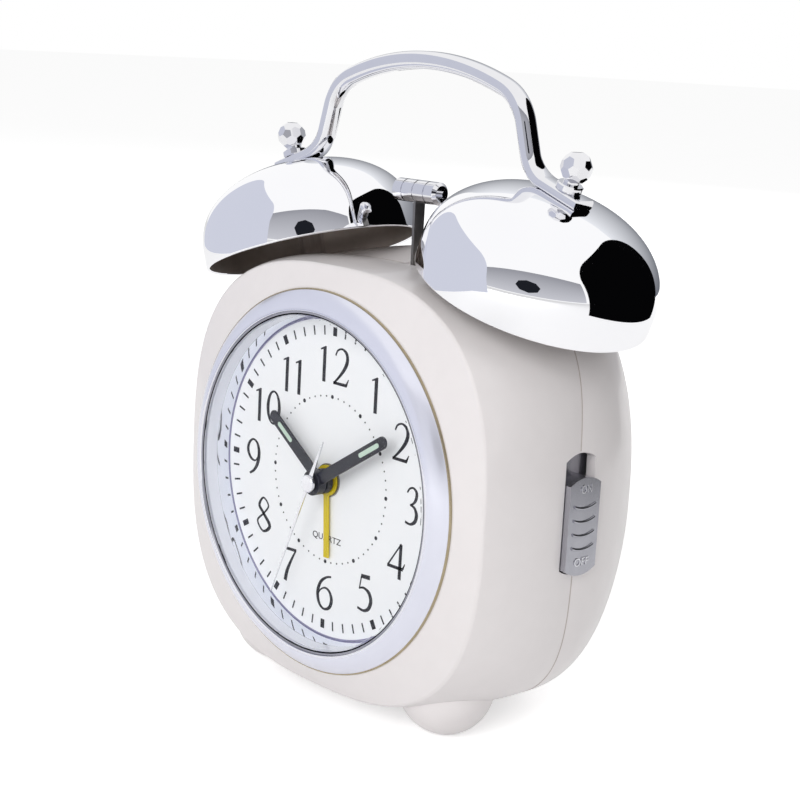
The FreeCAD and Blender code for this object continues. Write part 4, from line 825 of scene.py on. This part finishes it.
def make_switch_words():
    look = LOOKS["second_silver"]
    for name, words, depth, z, tall, wide in (
        ("switch_on_word", "ON", 27.0, 7.3, 2.0, 3.6),
        ("switch_off_word", "OFF", 26.9, -10.1, 1.9, 5.0),
    ):
        spot = facing(at(SWITCH_FACE + SWITCH_WORD_LIFT, depth, z), (0, 1, 0), (0, 0, 1))
        text_mesh(
            name, words, tall, wide, spot, look, SWITCH_WORD_THICK, "alarm_switch"
        )


# Moulded marks on the back

REAR_FACE = 58.0
KNOB_MARK_RADIUS = 8.4
KNOB_MARK_WIDE = 0.7
MARK_PROUD = 0.25
MARK_SUNK = 0.05
ARROW_FROM = -60
ARROW_TO = 50
ARROW_STEPS = 16
ARROW_HEAD_TURN = 14
ARROW_HEAD_HALF = 1.4


def turn_arrow(x, z):
    """An arc with a head at its far end, drawn round a knob."""
    radius = KNOB_MARK_RADIUS
    line = []
    for i in range(ARROW_STEPS + 1):
        a = math.radians(ARROW_FROM + (ARROW_TO - ARROW_FROM) * i / ARROW_STEPS)
        line.append((x + radius * math.sin(a), z + radius * math.cos(a), KNOB_MARK_WIDE))
    outlines = stroke(line)
    tip = math.radians(ARROW_TO + ARROW_HEAD_TURN)
    back = math.radians(ARROW_TO)
    head = [(x + radius * math.sin(tip), z + radius * math.cos(tip))]
    for reach in (radius + ARROW_HEAD_HALF, radius - ARROW_HEAD_HALF):
        head.append((x + reach * math.sin(back), z + reach * math.cos(back)))
    return outlines + [head]


def knob_place(name):
    """Where a knob's middle stands, in millimetres from the dial's middle."""
    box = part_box(name)
    return (box[0][0] + box[1][0]) / 2 / MM, (box[0][2] + box[1][2]) / 2 / MM - DIAL_Z


def make_back_marks():
    front = REAR_FACE - MARK_SUNK
    thick = MARK_PROUD + MARK_SUNK
    for name in ("time_set_knob", "alarm_set_knob"):
        x, z = knob_place(name)
        outlines = turn_arrow(x, z)
        flat_prism(name + "_mark", outlines, LOOKS["knob_grey"], front, thick)


# Looks of the pieces that keep their CAD shape

def dress_nodes():
    slots = {part["node"]: part["material_slot"] for part in frame["record"]["subparts"]}
    for name, piece in NODES.items():
        slot = slots[name]
        if slot in LOOKS:
            for place in piece.material_slots:
                place.material = LOOKS[slot]
    NODES["dial_rim"].material_slots[0].material = DIAL_WALL


# Stage

WORLD_LIGHT = 0.50
KEY_PLACE = (0.55, -1.40, 0.75)
KEY_POWER = 12.0
BACK_PLACE = (-0.35, 1.50, 0.75)
BACK_POWER = 7.0
LAMP_SIZE = 0.9
LAMP_AIM = (0.0, 0.0, 0.08)
FLOOR_HALF = 12.0
FLOOR_PAINT = 0.92
FLOOR_LIFT = 0.50
FLOOR_LIFT_MIRRORED = 0.26
CARD_CORNER_STEPS = 8
SPOT_SIDES = 8


def glow(name, low_colour, high_colour):
    """A card's surface, fading from its foot to its top."""
    material, nodes, links = bare_material(name)
    place = nodes.new("ShaderNodeTexCoord")
    split = nodes.new("ShaderNodeSeparateXYZ")
    blend = nodes.new("ShaderNodeMix")
    blend.data_type = "RGBA"
    blend.inputs["A"].default_value = srgb(*low_colour)
    blend.inputs["B"].default_value = srgb(*high_colour)
    shine = nodes.new("ShaderNodeEmission")
    output = nodes.new("ShaderNodeOutputMaterial")
    links.new(place.outputs["Generated"], split.inputs["Vector"])
    links.new(split.outputs["Z"], blend.inputs["Factor"])
    links.new(blend.outputs["Result"], shine.inputs["Color"])
    links.new(shine.outputs["Emission"], output.inputs["Surface"])
    return material


def rounded(half_width, low, high, corner):
    """Outline of a card with rounded top corners, as (across, height) in metres."""
    outline = [(half_width, low)]
    for mid_x, mid_z, start in (
        (half_width - corner, high - corner, 0),
        (corner - half_width, high - corner, 90),
    ):
        for i in range(CARD_CORNER_STEPS + 1):
            a = math.radians(start + 90 * i / CARD_CORNER_STEPS)
            outline.append((mid_x + corner * math.cos(a), mid_z + corner * math.sin(a)))
    outline.append((-half_width, low))
    return outline


def card(name, azimuth, distance, outline, low_colour, high_colour):
    """A flat studio card that faces the clock and shows only in polished things.

    Azimuth 0 is the front and 90 the right.
    """
    turn = math.radians(azimuth)
    foot = Vector((math.sin(turn), -math.cos(turn), 0.0)) * distance
    across = Vector((math.cos(turn), math.sin(turn), 0.0))
    vertices = [foot + across * u + Vector((0.0, 0.0, z)) for u, z in outline]
    mesh = bpy.data.meshes.new(name)
    mesh.from_pydata(vertices, [], [tuple(range(len(outline)))])
    mesh.materials.append(glow(name + "_look", low_colour, high_colour))
    piece = bpy.data.objects.new(name, mesh)
    bpy.context.scene.collection.objects.link(piece)
    piece.visible_camera = False
    piece.visible_diffuse = False
    piece.visible_shadow = False
    piece.visible_transmission = False
    piece.visible_volume_scatter = False


def make_cards():
    black = (5, 5, 6)
    lilac = (208, 211, 224)
    slate = (30, 32, 38)
    panel = rounded(half_width=0.27, low=0.0, high=0.455, corner=0.15)
    card("dark_card", 134, 0.30, panel, black, black)
    panel = rounded(half_width=0.576, low=0.0, high=0.64, corner=0.25)
    card("lilac_card", -50, 0.45, panel, lilac, lilac)
    panel = rounded(half_width=0.83, low=0.12, high=0.68, corner=0.02)
    card("strip_card", 45, 0.80, panel, (200, 201, 207), (150, 151, 158))
    spot = []
    for i in range(SPOT_SIDES):
        turn = 2 * math.pi * i / SPOT_SIDES
        spot.append((0.15 * math.cos(turn), 0.30 + 0.13 * math.sin(turn)))
    card("strip_spot", 41, 0.76, spot, slate, slate)
    panel = rounded(half_width=0.75, low=0.0, high=1.25, corner=0.3)
    card("back_card", 205, 1.2, panel, (105, 108, 116), (238, 240, 244))


def seen_directly(nodes, links, mirrored=1.0):
    """One where the camera or a clear piece looks at a surface, and nought where lamp light falls.

    Where a polished piece looks at it, the value is the share given.
    """
    rays = nodes.new("ShaderNodeLightPath")
    share = math_node(nodes, "MULTIPLY")
    share.inputs[1].default_value = mirrored
    first = math_node(nodes, "MAXIMUM")
    second = math_node(nodes, "MAXIMUM")
    links.new(rays.outputs["Is Glossy Ray"], share.inputs[0])
    links.new(rays.outputs["Is Camera Ray"], first.inputs[0])
    links.new(share.outputs["Value"], first.inputs[1])
    links.new(first.outputs["Value"], second.inputs[0])
    links.new(rays.outputs["Is Transmission Ray"], second.inputs[1])
    return second.outputs["Value"]


def make_floor():
    """A pale floor that looks white and still takes the clock's shadow."""
    half = FLOOR_HALF
    corners = [(-half, -half, 0), (half, -half, 0), (half, half, 0), (-half, half, 0)]
    mesh = bpy.data.meshes.new("floor")
    mesh.from_pydata(corners, [], [(0, 1, 2, 3)])
    material, nodes, links = bare_material("floor_look")
    paint = nodes.new("ShaderNodeBsdfDiffuse")
    paint.inputs["Color"].default_value = (FLOOR_PAINT, FLOOR_PAINT, FLOOR_PAINT, 1.0)
    lift = nodes.new("ShaderNodeEmission")
    amount = math_node(nodes, "MULTIPLY")
    amount.inputs[1].default_value = FLOOR_LIFT
    both = nodes.new("ShaderNodeAddShader")
    output = nodes.new("ShaderNodeOutputMaterial")
    links.new(seen_directly(nodes, links, FLOOR_LIFT_MIRRORED / FLOOR_LIFT), amount.inputs[0])
    links.new(amount.outputs["Value"], lift.inputs["Strength"])
    links.new(paint.outputs["BSDF"], both.inputs[0])
    links.new(lift.outputs["Emission"], both.inputs[1])
    links.new(both.outputs["Shader"], output.inputs["Surface"])
    mesh.materials.append(material)
    floor = bpy.data.objects.new("floor", mesh)
    bpy.context.scene.collection.objects.link(floor)


def make_world():
    """White to the eye and in polished things, and a little softer as light."""
    world = bpy.data.worlds.new("studio")
    bpy.context.scene.world = world
    world.use_nodes = True
    nodes = world.node_tree.nodes
    links = world.node_tree.links
    nodes.clear()
    seen = nodes.new("ShaderNodeBackground")
    seen.inputs["Color"].default_value = (1.0, 1.0, 1.0, 1.0)
    seen.inputs["Strength"].default_value = 1.0
    light = nodes.new("ShaderNodeBackground")
    light.inputs["Color"].default_value = (1.0, 1.0, 1.0, 1.0)
    light.inputs["Strength"].default_value = WORLD_LIGHT
    mix = nodes.new("ShaderNodeMixShader")
    output = nodes.new("ShaderNodeOutputWorld")
    links.new(seen_directly(nodes, links), mix.inputs["Fac"])
    links.new(light.outputs["Background"], mix.inputs[1])
    links.new(seen.outputs["Background"], mix.inputs[2])
    links.new(mix.outputs["Shader"], output.inputs["Surface"])


def aim(piece, place, target):
    way = (Vector(target) - Vector(place)).normalized()
    piece.rotation_euler = way.to_track_quat("-Z", "Y").to_euler()
    piece.location = place


def make_lamp(name, place, power):
    data = bpy.data.lights.new(name, "AREA")
    data.shape = "SQUARE"
    data.size = LAMP_SIZE
    data.energy = power
    lamp = bpy.data.objects.new(name, data)
    lamp.visible_glossy = False
    aim(lamp, place, LAMP_AIM)
    bpy.context.scene.collection.objects.link(lamp)


def make_camera():
    data = bpy.data.cameras.new("camera")
    data.lens = CAMERA_LENS
    data.sensor_width = CAMERA_SENSOR
    data.clip_start = CAMERA_CLIP_START
    camera = bpy.data.objects.new("camera", data)
    turn = Matrix((CAMERA_RIGHT, CAMERA_UP, CAMERA_BACK)).transposed().to_4x4()
    camera.matrix_world = Matrix.Translation(CAMERA_PLACE) @ turn
    bpy.context.scene.collection.objects.link(camera)
    bpy.context.scene.camera = camera


def make_stage():
    make_floor()
    make_cards()
    make_world()
    make_lamp("key_lamp", KEY_PLACE, KEY_POWER)
    make_lamp("back_lamp", BACK_PLACE, BACK_POWER)
    make_camera()
    bpy.context.scene.view_settings.view_transform = "Standard"


dress_nodes()
make_bell(-1, "left_bell")
make_bell(1, "right_bell")
make_handle()
make_bezel()
make_lens()
make_rings()
make_numerals()
make_dial_words()
make_switch_words()
make_seam()
make_back_marks()
make_stage()
